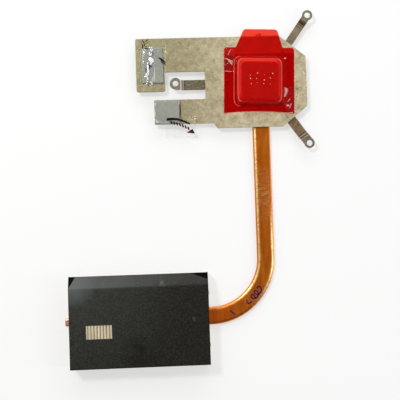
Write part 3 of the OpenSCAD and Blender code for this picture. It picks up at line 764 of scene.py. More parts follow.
def pipe_stations():
    """(x, y, heading in degrees, width, thickness, sideways set, wrinkle) down the pipe's route."""
    full = (PIPE_W, PIPE_T, 0.0)
    stations = tip_stations(0, PIPE_REACH, 270, -1, 0.0)[::-1]
    for step in range(91):
        stations.append((0, PIPE_REACH - (PIPE_REACH + BEND_DROP) * step / 90, 270, *full, 0.0))
    for step in range(1, 60):
        angle = 90 * step / 60
        x = -BEND_R + BEND_R * math.cos(math.radians(angle))
        y = -BEND_DROP - BEND_R * math.sin(math.radians(angle))
        stations.append((x, y, 270 - angle, *full, math.sin(math.radians(2 * angle))))
    for step in range(61):
        stations.append((-BEND_R + (RUN_END_X + BEND_R) * step / 60, PIPE_Y, 180, *full, 0.0))
    return stations + tip_stations(RUN_END_X, PIPE_Y, 180, 1, TIP_BEND)


def flattened_section(width, thick):
    """(across, up) points of a flattened tube: a slightly crowned top and a flat underside."""
    radius = thick / 2
    flat = width / 2 - radius
    points = []
    for step in range(SECTION_STEPS + 1):
        angle = math.pi * step / SECTION_STEPS
        across = abs(math.cos(angle)) ** (2 / SHOULDER) * width / 2
        points.append((math.copysign(across, math.cos(angle)), radius * math.sin(angle)))
    arc = [math.radians(90 * step / 7) for step in range(1, 8)]
    right = [(flat + radius * math.cos(angle), -radius * math.sin(angle)) for angle in arc]
    return points + [(-across, up) for across, up in right] + right[::-1]


def pipe_mesh():
    points = []
    stations = pipe_stations()
    for x, y, heading, width, thick, bend, wrinkle in stations:
        turn = math.radians(heading)
        left = Vector((-math.sin(turn), math.cos(turn)))
        section = flattened_section(width, thick)
        for across, up in section:
            full = up > UPPER_SKIN and thick > TIP_T * 1.2
            uneven = UNEVEN * ripple(x + across, y, 9.0, 3.0) if full else 0
            fold = 0.08 * wrinkle * math.sin(heading * 1.3) * smooth_step(-across, 2.5, 5.0)
            place = Vector((x, y)) + left * (bend - across + fold)
            sunk = uneven - UNEVEN if up > UPPER_SKIN else 0
            points.append((place.x, place.y, PIPE_T / 2 + up + sunk))
    return closed_mesh("heat_pipe_body", points, bar_faces(len(stations), len(section)))


def add_strokes(name, lines, width, height_at, ink, lift=0.02, narrowing=0.0):
    """Thin flat strokes along lines of (x, y) points that lie on a surface."""
    points = []
    faces = []
    for line in lines:
        path = [Vector(point) for point in line]
        last = len(path) - 1
        faces += [(a, a + 1, a + 3, a + 2) for a in range(len(points), len(points) + 2 * last, 2)]
        for k, here in enumerate(path):
            along = (path[min(last, k + 1)] - path[max(0, k - 1)]).normalized()
            side = Vector((-along.y, along.x)) * width / 2
            ends = (0.6 if k in (0, last) else 1.0) * (1 - narrowing * k / last)
            for sign in (1, -1):
                place = here + side * sign * ends
                points.append((place.x, place.y, height_at(place.x, place.y) + lift))
    new_piece(name, sheet_mesh(name, points, faces, 0.02), ink)


def curve_through(marks, steps=6):
    """A smooth line through a few marks."""
    line = []
    for k in range(len(marks) - 1):
        around = (marks[max(0, k - 1)], marks[k], marks[k + 1], marks[min(len(marks) - 1, k + 2)])
        p0, p1, p2, p3 = (Vector(mark) for mark in around)
        for step in range(steps):
            t = step / steps
            line.append(
                0.5 * (2 * p1 + (p2 - p0) * t + (2 * p0 - 5 * p1 + 4 * p2 - p3) * t * t
                       + (3 * p1 - p0 - 3 * p2 + p3) * t ** 3)
            )
    line.append(Vector(marks[-1]))
    return line


LOOPS_START, LOOPS_RUN, LOOPS_R, LOOPS_TURN = (-9.4, -134.0), (5.2, 6.2), 1.75, 16
PEN_HOOK = [(-12.9, -134.6), (-12.6, -136.4), (-11.2, -136.9), (-9.6, -135.6)]
PEN_TICK = [(-23.4, -140.6), (-21.7, -142.2), (-19.9, -143.4)]


def add_pipe():
    """The copper pipe and the plain marks of a violet pen on it."""
    new_piece("heat_pipe_body", pipe_mesh(), copper_finish(), ("heat_pipe",))
    loops = [
        (
            LOOPS_START[0] + LOOPS_RUN[0] * share + LOOPS_R * math.cos(share * LOOPS_TURN),
            LOOPS_START[1] + LOOPS_RUN[1] * share + LOOPS_R * math.sin(share * LOOPS_TURN),
        )
        for share in [step / 60 for step in range(61)]
    ]
    lines = [loops, curve_through(PEN_HOOK), curve_through(PEN_TICK)]
    ink = ink_finish("violet_ink", (0.014, 0.004, 0.050), (0.040, 0.012, 0.095))
    add_strokes("pen_marks", lines, 0.78, lambda x, y: PIPE_HIGH.z, ink)


# Fins

def fin_profile():
    """(x, z) outline of one folded fin: a web with a flange at each edge, its folds round."""
    outside = [(FIN_REACH, 0)] + arc_points(FOLD_R, FOLD_R, FOLD_R, 270, 180, 6)
    inside = arc_points(FOLD_R, FOLD_R, FOLD_R - FIN_T, 270, 180, 6)
    upper_out = [(x, FIN_TOP - z) for x, z in outside[::-1]]
    upper_in = [(x, FIN_TOP - z) for x, z in inside]
    inner_line = [(FIN_REACH, FIN_TOP - FIN_T)] + upper_in + inside[::-1] + [(FIN_REACH, FIN_T)]
    return outside + upper_out + inner_line


def prism(name, profile, start, end, axis="X"):
    """A closed bar with a flat profile, along X or Y, as an object at the drawing's zero."""
    mesh = bpy.data.meshes.new(name)
    with opened(mesh) as work:
        corners = [
            work.verts.new((a, distance, b) if axis == "Y" else (distance, a, b))
            for distance in (start, end)
            for a, b in profile
        ]
        for face in bar_faces(2, len(profile)):
            work.faces.new([corners[k] for k in face])
        bmesh.ops.recalc_face_normals(work, faces=work.faces)
    return add_object(name, mesh)


def box_profile(low, high):
    return [low, (high[0], low[1]), high, (low[0], high[1])]


def channel_profile():
    """(y, z) outline of the channel that the pipe lies in, open downwards."""
    half = PIPE_W / 2 + COLLAR_GAP
    radius = PIPE_T / 2 + COLLAR_GAP
    right = [(half, -1.0)] + arc_points(half - radius, PIPE_T / 2, radius, 0, 90, 8)
    return [(PIPE_Y + y, z) for y, z in right + [(-y, z) for y, z in right[::-1]]]


def slope_profile():
    """(y, z) outline of what the gasket and the flap take off the fins."""
    low = FIN_TOP - GASKET_T
    run = FLAP_DEPTH + 1
    return [
        (FOLD_Y, FIN_TOP + 1), (FOLD_Y, low),
        (INLET_Y + 1, low - FLAP_DROP * run / FLAP_DEPTH), (INLET_Y + 1, FIN_TOP + 1),
    ]


def one_fin():
    """The first fin's mesh, at its own place along X = 0."""
    sheet = prism("fin", fin_profile(), OUTLET_Y, INLET_Y - FILM_OVERHANG, "Y")
    collar_z = PIPE_T + COLLAR_GAP
    half = PIPE_W / 2 - COLLAR_INSET
    collar = box_profile((PIPE_Y - half, collar_z - COLLAR_SINK), (PIPE_Y + half, collar_z + FIN_T))
    joined = [prism("collar", collar, FIN_T / 2, FIN_REACH)]
    cut = [prism("slope", slope_profile(), -1, FIN_PITCH + 1)]
    gap = LOCK_W / 2 + LOCK_GAP
    for y in (INLET_Y - LOCK_INSET, OUTLET_Y + LOCK_INSET):
        for z, below, above in ((0, 1, LOCK_GAP), (FIN_TOP - FIN_T, LOCK_GAP, 1)):
            tongue = box_profile((y - LOCK_W / 2, z + LOCK_PLAY), (y + LOCK_W / 2, z + FIN_T - LOCK_PLAY))
            slot = box_profile((y - gap, z - below), (y + gap, z + FIN_T + above))
            joined.append(prism("tongue", tongue, FIN_REACH - LOCK_ROOT, FIN_PITCH + FIN_T + LOCK_LENGTH))
            cut.append(prism("slot", slot, -1, FIN_T + LOCK_LENGTH + LOCK_GAP))
    channel = prism("channel", channel_profile(), -1, FIN_PITCH + 1)
    for tools, operation in ((cut, "DIFFERENCE"), (joined, "UNION"), ([channel], "DIFFERENCE")):
        for tool in tools:
            step = sheet.modifiers.new(tool.name, "BOOLEAN")
            step.operation = operation
            step.object = tool
            step.solver = "EXACT"
            applied(sheet)
            bpy.data.objects.remove(tool)
    mesh = sheet.data
    bpy.data.objects.remove(sheet)
    return mesh


def add_fins():
    """All folded fins as one piece of separate sheets, and the plain end fin."""
    material = fin_finish()
    single = one_fin()
    points = []
    faces = []
    for number in range(FIN_NUMBER - 1):
        start = len(points)
        shift = BLOCK_X[0] + number * FIN_PITCH
        points += [(vertex.co.x + shift, vertex.co.y, vertex.co.z) for vertex in single.vertices]
        faces += [tuple(start + k for k in face.vertices) for face in single.polygons]
    mesh = raw_mesh("fin_stack", points, faces)
    new_piece("fin_stack", mesh, material, ("fins",))
    mesh.set_sharp_from_angle(angle=SHARP_ANGLE)
    finished_node("end_fin", material)


# Foam strip and black film

def add_gasket():
    """Foam strip under the film's flap, its edges pressed soft."""
    rows, steps, lift = 7, 43, 0.12
    shares = [step / rows for step in range(rows + 1)]
    upper = [(FOLD_Y + FLAP_DEPTH * share, FIN_TOP - FLAP_DROP * share, lift) for share in shares]
    outline = upper + [(y, z - GASKET_T, 0) for y, z, pressed in upper[::-1]]
    points = []
    for column in range(steps + 1):
        x = BLOCK_X[0] + (BLOCK_X[1] - BLOCK_X[0]) * column / steps
        for y, z, pressed in outline:
            points.append((x, y, z - UNEVEN - pressed * (0.5 + 0.5 * ripple(x, y, 2.5, 5.0))))
    mesh = closed_mesh("foam_strip", points, bar_faces(steps + 1, len(outline)))
    # near-black foam, darker than foam alone, partly its own black and partly painted shade under the flap's
    # tapered ends
    black = ((0.0006, 0.0006, 0.0006), (0.003, 0.003, 0.003))
    foam = simple_finish(
        "foam", ("spots", 0.45), black, depth=0.15, places=(0.05, 0.6),
        Roughness=0.95, Specular_IOR_Level=0.08,
    )
    piece = new_piece("foam_strip", mesh, foam.material, ("inlet_gasket",))
    mesh.set_sharp_from_angle(angle=SHARP_ANGLE)


FILM_HILLS = [
    # a sharp crease on the flap with a hollow beside it, a dent low on the film and wear at its left
    (0.42, -64.2, -122.2, 0.8, 2.2),
    (-0.10, -66.0, -122.2, 1.3, 2.2),
    (0.18, -81.8, -167.2, 1.5, 1.1),
    (-0.20, -81.5, -161.5, 5.0, 4.0),
    (0.10, -103.5, -166.0, 1.2, 2.0),
]
CRESCENT_PLACE, CRESCENT_R, CRESCENT_W = (-47.4, -144.6), 1.5, 0.5
FLAP_FOLD_R = 0.5
FLAT_STEP, FOLD_STEP, FLAP_STEP = 0.7, 0.3, 0.6


def film_height(x, y):
    """Height of the film's upper face, with its fold, creases and dents."""
    past_fold = y - FOLD_Y
    drop = FLAP_DROP / FLAP_DEPTH * 0.5 * (past_fold + math.sqrt(past_fold ** 2 + FLAP_FOLD_R ** 2))
    ring = math.hypot(x - CRESCENT_PLACE[0], (y - CRESCENT_PLACE[1]) * 0.9)
    crescent = 0.16 * bell(ring - CRESCENT_R, CRESCENT_W) * (1 if y > CRESCENT_PLACE[1] else 0.3)
    waves = 0.09 * ripple(x, y, 14.0) + 0.03 * ripple(x, y, 5.0, 2.0)
    inside = smooth_step(min(x - BLOCK_X[0], BLOCK_X[1] - x, y - OUTLET_Y), 0.0, 3.0)
    top = FIN_TOP + FILM_T - UNEVEN - drop
    return top + hills(x, y, FILM_HILLS) + crescent + inside * (waves - 0.03)


def add_cover_film():
    window_x = (BLOCK_X[0] + WINDOW_LEFT, BLOCK_X[0] + WINDOW_LEFT + WINDOW_W)
    window_y = (INLET_Y - WINDOW_FROM_INLET - WINDOW_H, INLET_Y - WINDOW_FROM_INLET)
    fold = (FOLD_Y - FOLD_ZONE, FOLD_Y + FOLD_ZONE)
    xs = even_steps([BLOCK_X[0], *window_x, BLOCK_X[1]], FLAT_STEP)
    ys = even_steps([OUTLET_Y, *window_y, fold[0]], FLAT_STEP)[:-1] + even_steps(fold, FOLD_STEP)[:-1]
    ys += even_steps([fold[1], INLET_Y - FLAP_RIGHT_DEPTH, INLET_Y], FLAP_STEP)

    def point(x, y):
        left = BLOCK_X[0] + FLAP_LEFT_TAPER * max(0.0, (y - FOLD_Y) / FLAP_DEPTH)
        right_share = max(0.0, (y - INLET_Y + FLAP_RIGHT_DEPTH) / FLAP_RIGHT_DEPTH)
        right = BLOCK_X[1] - FLAP_RIGHT_TAPER * right_share
        share = (x - BLOCK_X[0]) / (BLOCK_X[1] - BLOCK_X[0])
        place = left + (right - left) * share if y > FOLD_Y else x
        return place, y, film_height(place, y)

    def beside_window(x, y):
        return not (window_x[0] < x < window_x[1] and window_y[0] < y < window_y[1])

    mesh = net_mesh("film_sheet", xs, ys, point, FILM_T * 0.8, beside_window)
    new_piece("film_sheet", mesh, film_finish(), ("cover_film",))
    mesh.set_sharp_from_angle(angle=math.radians(50))


# Thermal pads and their clear films

PAD_CORNER_R = 0.6
PAD_SINK = 0.05
PAD_RINGS = [(0.0, 0.0), (0.0, 0.55), (0.06, 0.80), (0.18, 0.93), (0.42, 0.98), (1.2, 1.0), (3.0, 1.0)]


def add_pad(node, name, seed, material):
    """A soft pad with its upper edge pressed round and its top slightly uneven."""
    low, high = node_box(node)
    centre = ((low.x + high.x) / 2, (low.y + high.y) / 2)
    half = ((high.x - low.x) / 2, (high.y - low.y) / 2)
    outline = []
    for sign_x, sign_y, start in ((1, 1, 0), (-1, 1, 90), (-1, -1, 180), (1, -1, 270)):
        x = (high.x if sign_x > 0 else low.x) - sign_x * PAD_CORNER_R
        y = (high.y if sign_y > 0 else low.y) - sign_y * PAD_CORNER_R
        outline += arc_points(x, y, PAD_CORNER_R, start, start + 90, 5)
    points = []
    for inset, share in PAD_RINGS:
        for x, y in outline:
            px = centre[0] + (x - centre[0]) * (1 - inset / half[0])
            py = centre[1] + (y - centre[1]) * (1 - inset / half[1])
            top = 0.05 * ripple(px, py, 3.0, seed) - PAD_SINK if share > 0.9 else 0
            points.append((px, py, low.z + (high.z - low.z) * share + top))
    points.append((*centre, low.z + (high.z - low.z) - PAD_SINK))
    faces = [tuple(reversed(range(len(outline))))] + fan_faces(len(PAD_RINGS), len(outline))
    piece = new_piece(name, closed_mesh(name, points, faces), material, (node,))


FLANK_W, FLANK_SLOPE = 2.8, 0.24
TONGUE_W, TONGUE_LAP = 18.5, 5.0
FOLD_LIFT, PRINT_LIFT = 0.12, 0.08
UPPER_RIDGE = [
    (-65.0, 24.1), (-65.0, 22.1), (-66.6, 17.2), (-65.6, 15.2), (-67.4, 12.5), (-67.0, 10.5),
    (-68.3, 8.0), (-68.4, 5.0), (-69.0, 3.0), (-68.2, 0.5), (-68.6, -2.0),
]
UPPER_FOLD_GLINTS = [
    # outlines of the painted highlights on the standing fold: white patches that stand in for its glints
    [(-66.8, 19.9), (-66.2, 21.4), (-65.2, 22.2), (-65.5, 20.8), (-66.1, 20.0)],
    [(-68.3, 17.2), (-67.7, 18.4), (-66.2, 19.0), (-65.9, 18.3), (-67.1, 17.3)],
    [(-68.2, 16.1), (-66.8, 16.5), (-65.1, 14.8), (-65.0, 13.7), (-66.2, 13.1), (-66.8, 11.5), (-67.8, 11.7),
     (-67.5, 13.5), (-68.2, 14.7)],
    [(-69.5, 11.8), (-68.6, 11.8), (-68.2, 8.6), (-68.4, 5.4), (-69.4, 5.2), (-69.5, 8.6)],
    [(-71.0, 4.7), (-69.9, 5.6), (-68.9, 5.2), (-69.6, 4.1), (-70.8, 4.1)],
    [(-69.9, 4.2), (-69.0, 4.3), (-68.8, 2.5), (-69.7, 2.4)],
    [(-67.8, 2.0), (-67.0, 1.2), (-66.1, -0.6), (-66.9, -0.8), (-67.6, 0.6)],
    [(-70.4, 0.5), (-69.6, 0.8), (-69.6, -0.3), (-70.4, -0.4)],
]
UPPER_STREAKS = [
    [(-71.9, 21.3), (-71.4, 21.4), (-71.6, 14.6), (-72.2, 14.6)],
    [(-65.0, 9.6), (-64.4, 9.6), (-65.0, 1.6), (-65.7, 1.6)],
    [(-66.4, 4.2), (-65.9, 4.2), (-66.2, 0.8), (-66.8, 0.8)],
]
LOWER_STREAKS = [
    [(-65.5, -12.6), (-64.9, -12.0), (-64.7, -13.4), (-65.3, -13.8)],
    [(-65.9, -17.4), (-65.2, -17.1), (-65.1, -20.4), (-65.7, -20.6)],
    [(-65.6, -21.8), (-64.4, -22.8), (-63.3, -24.1), (-64.8, -24.3)],
    [(-57.3, -15.6), (-57.0, -15.6), (-57.1, -17.8), (-57.4, -17.8)],
]


def ridge_x(y):
    """Place across of the upper film's standing fold."""
    for (x0, y0), (x1, y1) in zip(UPPER_RIDGE, UPPER_RIDGE[1:]):
        if y1 <= y <= y0:
            return x0 + (x1 - x0) * (y0 - y) / (y0 - y1)
    return UPPER_RIDGE[0][0] if y > UPPER_RIDGE[0][1] else UPPER_RIDGE[-1][0]


def upper_film_height(x, y):
    """Height of the clear film over the upper pad, which stands up in crinkled folds."""
    base = node_box("pad_film_upper")[1].z
    across = x - ridge_x(y)
    flank = smooth_step(across, -FLANK_W - 0.6, -FLANK_W + 0.2) * smooth_step(-across, 0.0, 0.9)
    slope = FLANK_SLOPE * (across + FLANK_W) * flank * (0.85 + 0.35 * ripple(0, y, 1.6, 7.0))
    second = 0.22 * bell(across - 4.2, 0.9) * smooth_step(-y, -9.0, -3.0)
    third = 0.25 * bell(across + 4.2, 1.1) * smooth_step(y, 4.0, 14.0)
    crinkle = 0.10 * ripple(x, y, 1.1, 4.0) + 0.12 * ripple(x, y, 2.2, 6.0)
    return base + 0.05 + slope + second + third + crinkle * (0.15 + bell(across + 1.2, 2.2))


def lower_film_height(x, y):
    """Height of the lower film: flat on its pad, then bending down past the plate's edge."""
    top = node_box("pad_film_lower")[1].z
    pad_low, pad_high = node_box("thermal_pad_lower")
    off_side = smooth_step(x, pad_high.x - 0.2, pad_high.x + 4.0)
    off_end = smooth_step(-y, -pad_low.y, -pad_low.y + 5.0)
    sink = 0.65 * off_side * (1 - off_end) + 0.5 * off_end
    wave = 0.04 * ripple(x, y, 2.6, 11.0) + 0.30 * max(off_side, off_end) * ripple(x, y, 5.5, 12.0)
    left_edge = bell(x - pad_low.x - 0.9 - 0.5 * ripple(0, y, 3.0, 13.0), 0.6)
    corners = [
        (0.6, pad_low.x + 2.4, pad_low.y + 0.9, 1.6, 0.7),
        (0.25, pad_low.x + 6.5, pad_low.y + 0.6, 3.0, 0.5),
    ]
    creases = 0.42 * left_edge * (0.6 + 0.8 * ripple(x, y, 2.0, 14.0)) + hills(x, y, corners)
    return top + 0.06 - sink + wave + creases


def add_folds(name, patches, height, material):
    """Pale patches on the folds of a clear sheet, from their outlines: partly milky creases, partly painted
    highlights.
    """
    points = []
    faces = []
    for patch in patches:
        faces.append(tuple(range(len(points), len(points) + len(patch))))
        points += [(x, y, height(x, y) + FOLD_LIFT) for x, y in patch]
    new_piece(name, sheet_mesh(name, points, faces, 0.04), material, smooth=False)


def add_pads():
    grey = pad_finish()
    add_pad("thermal_pad_upper", "pad_upper_soft", 1.0, grey)
    add_pad("thermal_pad_lower", "pad_lower_soft", 2.0, grey)
    clear = clear_finish("clear_film", (0.985, 0.985, 0.99), 0.05)
    add_clear_sheet("pad_upper_film", "pad_film_upper", upper_film_height, 0.35, clear)
    pad_low, pad_high = node_box("thermal_pad_lower")
    tongue_left, tongue_top = node_box("pad_film_lower")[1].x - TONGUE_W, pad_low.y + TONGUE_LAP

    def keep(x, y):
        on_pad = x < pad_high.x and y > pad_low.y
        on_tongue = x > tongue_left and y < tongue_top
        return on_pad or on_tongue

    add_clear_sheet("pad_lower_film", "pad_film_lower", lower_film_height, 0.45, clear, keep)
    # painted highlights: white patches in place of the glints on the upper film's standing fold
    white = milky_finish("fold_glint_white", ((0.55, 0.53, 0.80), (1.0, 1.0, 1.0)), 0.95)
    add_folds("film_upper_fold_glints", UPPER_FOLD_GLINTS, upper_film_height, white)
    # faint pale streaks on the films' wrinkles: partly milky creases, partly painted highlights
    faint = milky_finish("faint_fold", ((0.60, 0.60, 0.55), (0.92, 0.92, 0.88)), 0.4)
    add_folds("film_upper_streaks", UPPER_STREAKS, upper_film_height, faint)
    add_folds("film_lower_streaks", LOWER_STREAKS, lower_film_height, faint)


PAD_EDGE_SHADOW = [(-50.1, -12.8), (-50.1, -17.0), (-50.2, -21.4)]
ARROW_SHAFT = [(-58.5, -22.2), (-55.2, -22.0), (-51.5, -22.4), (-47.8, -23.5), (-44.0, -25.4)]
ARROW_HEAD = [(-46.6, -30.7), (-42.7, -28.4), (-41.3, -31.4)]
DASHES_START, DASHES_RUN, DASHES_BOW, DASH_HALF = (-55.6, -24.2), (10.4, -3.9), 0.5, (0.35, 1.05)
STROKES = [
    [(-72.0, 27.2), (-70.8, 25.4)], [(-68.5, 27.6), (-69.9, 26.1)], [(-70.9, 24.6), (-70.0, 23.0)],
    [(-72.0, 24.9), (-71.9, 22.1)], [(-70.6, 22.2), (-68.5, 21.7)],
    [(-62.3, 16.1), (-60.6, 15.3), (-58.9, 14.0)], [(-61.2, 14.9), (-60.2, 14.4), (-58.8, 13.5)],
    [(-60.6, 13.7), (-59.4, 12.2)], [(-59.4, 13.8), (-58.4, 11.8)],
]
BENT_STROKES = [
    [(-69.6, 12.4), (-67.9, 11.6), (-66.4, 10.6)], [(-70.2, 8.1), (-69.9, 9.5), (-69.1, 10.6)],
    [(-66.0, 19.4), (-65.3, 18.4)], [(-67.4, 10.9), (-68.3, 9.0)],
]


def add_film_print():
    """Plain printed marks on the clear films: an arrow, a row of dashes and a few strokes, and a painted
    shadow line along the lower pad's right edge.
    """
    ink = ink_finish("black_ink", (0.003, 0.002, 0.0015), (0.014, 0.009, 0.006))
    rust = ink_finish("brown_ink", (0.028, 0.004, 0.0015), (0.06, 0.012, 0.006))
    violet = ink_finish("violet_print", (0.020, 0.010, 0.045), (0.06, 0.03, 0.11))
    # painted shadow: a dark line along the lower pad's right edge
    add_strokes("pad_edge_shadow_line", [PAD_EDGE_SHADOW], 0.5, lower_film_height, ink)
    shaft = curve_through(ARROW_SHAFT)
    add_strokes("printed_arrow", [shaft], 1.6, lower_film_height, ink, lift=PRINT_LIFT, narrowing=0.45)
    corners = [(x, y, lower_film_height(x, y) + PRINT_LIFT) for x, y in ARROW_HEAD]
    head = sheet_mesh("printed_arrow_head", corners, [(0, 1, 2)], 0.03)
    new_piece("printed_arrow_head", head, rust, smooth=False)
    dashes = []
    half_x, half_y = DASH_HALF
    for share in [number / 6 for number in range(7)]:
        x = DASHES_START[0] + DASHES_RUN[0] * share
        y = DASHES_START[1] + DASHES_RUN[1] * share + DASHES_BOW * math.sin(math.pi * share)
        dashes.append([(x - half_x, y + half_y), (x, y), (x + half_x, y - half_y)])
    add_strokes("printed_dashes", dashes, 1.15, lower_film_height, rust, lift=PRINT_LIFT)
    add_strokes("printed_strokes", STROKES, 0.85, upper_film_height, ink, lift=0.10)
    add_strokes("printed_bent_strokes", BENT_STROKES, 0.7, upper_film_height, violet, lift=0.14)


# Red cap

CAP_SPOKES = 160
POINTS_START, POINTS_STEP, POINTS_IN_ROW, POINT_NUMBER = (-5.4, 3.6), (4.1, -2.9), 4, 12
DOME_DRAWN_H, PANEL_Z = 4.5, 4.35
DOME_SCALE = (node_box("protective_cap")[1].z - FACE_Z) / DOME_DRAWN_H
DOME_RINGS = [
    # half width, corner radius, height above the plate in a drawing of the dome's drawn height
    (15.95, 4.4, CAP_T), (15.75, 4.3, CAP_T + 0.04), (15.6, 4.2, CAP_T + 0.14), (15.5, 4.15, CAP_T + 0.35),
    (15.3, 4.1, 0.95), (14.8, 3.9, 1.95), (14.3, 3.7, 2.85), (13.95, 3.6, 3.35), (13.8, 3.5, 3.55),
    (13.6, 3.4, 3.68), (13.35, 3.3, 3.75), (13.0, 3.2, 3.85), (12.5, 3.1, 4.02), (12.0, 3.0, 4.20),
    (11.75, 2.9, 4.29), (11.5, 2.8, 4.34), (11.2, 2.7, PANEL_Z), (9.0, 2.2, PANEL_Z), (6.5, 1.6, PANEL_Z),
    (3.5, 0.9, PANEL_Z),
]
FLANGE_SHARES = (1.0, 0.985, 0.93, 0.8, 0.6, 0.4, 0.2)
CAP_GLINTS = [
    (16.2, 13.9, 0.6), (-15.5, -12.7, 0.45), (-13.2, -13.8, 0.35), (13.2, -13.7, 0.35), (16.9, -15.4, 0.6),
]


def square_reach(angle, half, radius):
    """Distance from the centre to a rounded square's edge in a direction."""
    c, s = abs(math.cos(angle)), abs(math.sin(angle))
    flat = half - radius
    if c * half >= s * half and s / max(c, 1e-9) * half <= flat:
        return half / c
    if s * half > c * half and c / max(s, 1e-9) * half <= flat:
        return half / s
    along = flat * (c + s)
    return along + math.sqrt(max(0.0, along * along - (2 * flat * flat - radius * radius)))


def rounded_corners(corners, steps=6):
    """An outline of (x, y, radius) corners with each corner rounded."""
    line = []
    for k, (x, y, radius) in enumerate(corners):
        here = Vector((x, y))
        before = (Vector(corners[k - 1][:2]) - here).normalized()
        after = (Vector(corners[(k + 1) % len(corners)][:2]) - here).normalized()
        reach = radius / math.tan(before.angle(after) / 2)
        start, end = here + before * reach, here + after * reach
        for t in [step / steps for step in range(steps + 1)]:
            line.append((1 - t) ** 2 * start + 2 * t * (1 - t) * here + t * t * end)
    return line


def cap_outline():
    """Edge of the flange with its pull tab and its hollow lower edge."""
    half = CAP_W / 2
    line = rounded_corners([
        (half, -CAP_LOWER, 0.5), (half, CAP_UPPER, 1.9), (TAB_ROOT_W / 2, CAP_UPPER, 0.95),
        (TAB_TOP_W / 2 + TAB_LEAN, TAB_UPPER, 2.4), (-TAB_TOP_W / 2 + TAB_LEAN, TAB_UPPER, 2.4),
        (-TAB_ROOT_W / 2, CAP_UPPER, 0.95), (-half, CAP_UPPER, 1.9), (-half, -CAP_LOWER, 0.5),
    ])
    for x in [-half + CAP_W * step / 24 for step in range(1, 24)]:
        line.append(Vector((x, -CAP_LOWER + CAP_BOW * (1 - (x / half) ** 2))))
    return line


def outline_reach(line, angle):
    """Distance from the centre to an outline in a direction."""
    direction = Vector((math.cos(angle), math.sin(angle)))
    best = 0.0
    for k, start in enumerate(line):
        edge = line[(k + 1) % len(line)] - start
        cross = direction.x * edge.y - direction.y * edge.x
        if abs(cross) < 1e-9:
            continue
        distance = (start.x * edge.y - start.y * edge.x) / cross
        share = (start.x * direction.y - start.y * direction.x) / cross
        if distance > 0 and -1e-6 <= share <= 1 + 1e-6:
            best = max(best, distance)
    return best


def on_cap(x, y):
    """Turns and shifts a place of the cap's own drawing onto the plate."""
    c, s = math.cos(CAP_TURN), math.sin(CAP_TURN)
    return x * c - y * s + CAP_SHIFT, x * s + y * c


def spoke_angles(line):
    """Even directions, with those of the outline's corners among them."""
    angles = {round(2 * math.pi * k / CAP_SPOKES, 4) for k in range(CAP_SPOKES)}
    angles |= {round(math.atan2(point.y, point.x) % (2 * math.pi), 4) for point in line}
    kept = []
    for angle in sorted(angles):
        if not kept or angle - kept[-1] > 0.004:
            kept.append(angle)
    return kept


def cap_mesh():
    """Thin sheet with its flange, its drawn dome and the sunken panel of the dome's top."""
    line = cap_outline()
    angles = spoke_angles(line)
    foot_half, foot_radius, foot_z = DOME_RINGS[0]
    points = []
    for share in FLANGE_SHARES:
        for angle in angles:
            inner = square_reach(angle, foot_half, foot_radius)
            distance = inner + (outline_reach(line, angle) - inner) * share
            x, y = distance * math.cos(angle), distance * math.sin(angle)
            tab = smooth_step(y, CAP_UPPER, TAB_UPPER)
            wave = 0.05 * share * (1 + ripple(x, y, 7.0, 20.0)) + 0.25 * tab * tab
            points.append((*on_cap(x, y), FACE_Z + foot_z + wave))
    for half, radius, z in DOME_RINGS:
        for angle in angles:
            distance = square_reach(angle, half, radius)
            x, y = distance * math.cos(angle), distance * math.sin(angle)
            uneven = UNEVEN * ripple(x, y, 5.0, 21.0) * (z > 4)
            points.append((*on_cap(x, y), FACE_Z + z * DOME_SCALE + uneven))
    points.append((*on_cap(0, 0), FACE_Z + PANEL_Z * DOME_SCALE))
    faces = fan_faces(len(FLANGE_SHARES) + len(DOME_RINGS), len(angles))
    return sheet_mesh("cap_sheet", points, faces, CAP_T * 0.9)


def add_point(work, place, sizes, turn=0.0):
    """A flat round point on the cap, in a mesh that is open for work."""
    shape = Matrix.Diagonal((*(size * MM for size in sizes), 1))
    matrix = Matrix.Translation(place) @ Matrix.Rotation(turn, 4, "Z") @ shape
    bmesh.ops.create_icosphere(work, subdivisions=2, radius=1.0, matrix=matrix)


def add_cap():
    """The cap, a group of embossed points on its dome with painted glints, and painted glints on its flange.
    """
    new_piece("cap_sheet", cap_mesh(), red_finish(), ("protective_cap",))
    draw = random.Random(4)
    mesh = bpy.data.meshes.new("cap_specks")
    with opened(mesh) as work:
        for number in range(POINT_NUMBER):
            row, column = divmod(number, POINTS_IN_ROW)
            x = POINTS_START[0] + POINTS_STEP[0] * column + draw.uniform(-1.1, 1.1)
            y = POINTS_START[1] + POINTS_STEP[1] * row + draw.uniform(-0.8, 0.8)
            size = draw.uniform(0.16, 0.36)
            sizes = (size, size * draw.uniform(0.7, 1.0), 0.14)
            place = spot(*on_cap(x, y), FACE_Z + PANEL_Z * DOME_SCALE)
            add_point(work, place, sizes, draw.uniform(0, math.pi))
        for vertex in work.verts:
            vertex.co += vertex.normal * 0.04 * MM * noise.noise(vertex.co / (0.35 * MM))
        for x, y, size in CAP_GLINTS:
            add_point(work, spot(x, y, FACE_Z + CAP_T + 0.2), (size, size * 0.8, 0.3))
    # painted glints: the embossed points and the flange glints are coloured pale for the light they catch
    tones = ((0.80, 0.38, 0.34), (0.95, 0.75, 0.70))
    pale = simple_finish("speck", ("grain", 0.4, 2), tones, (0.15, 0.3))
    new_piece("cap_specks", mesh, pale.material)


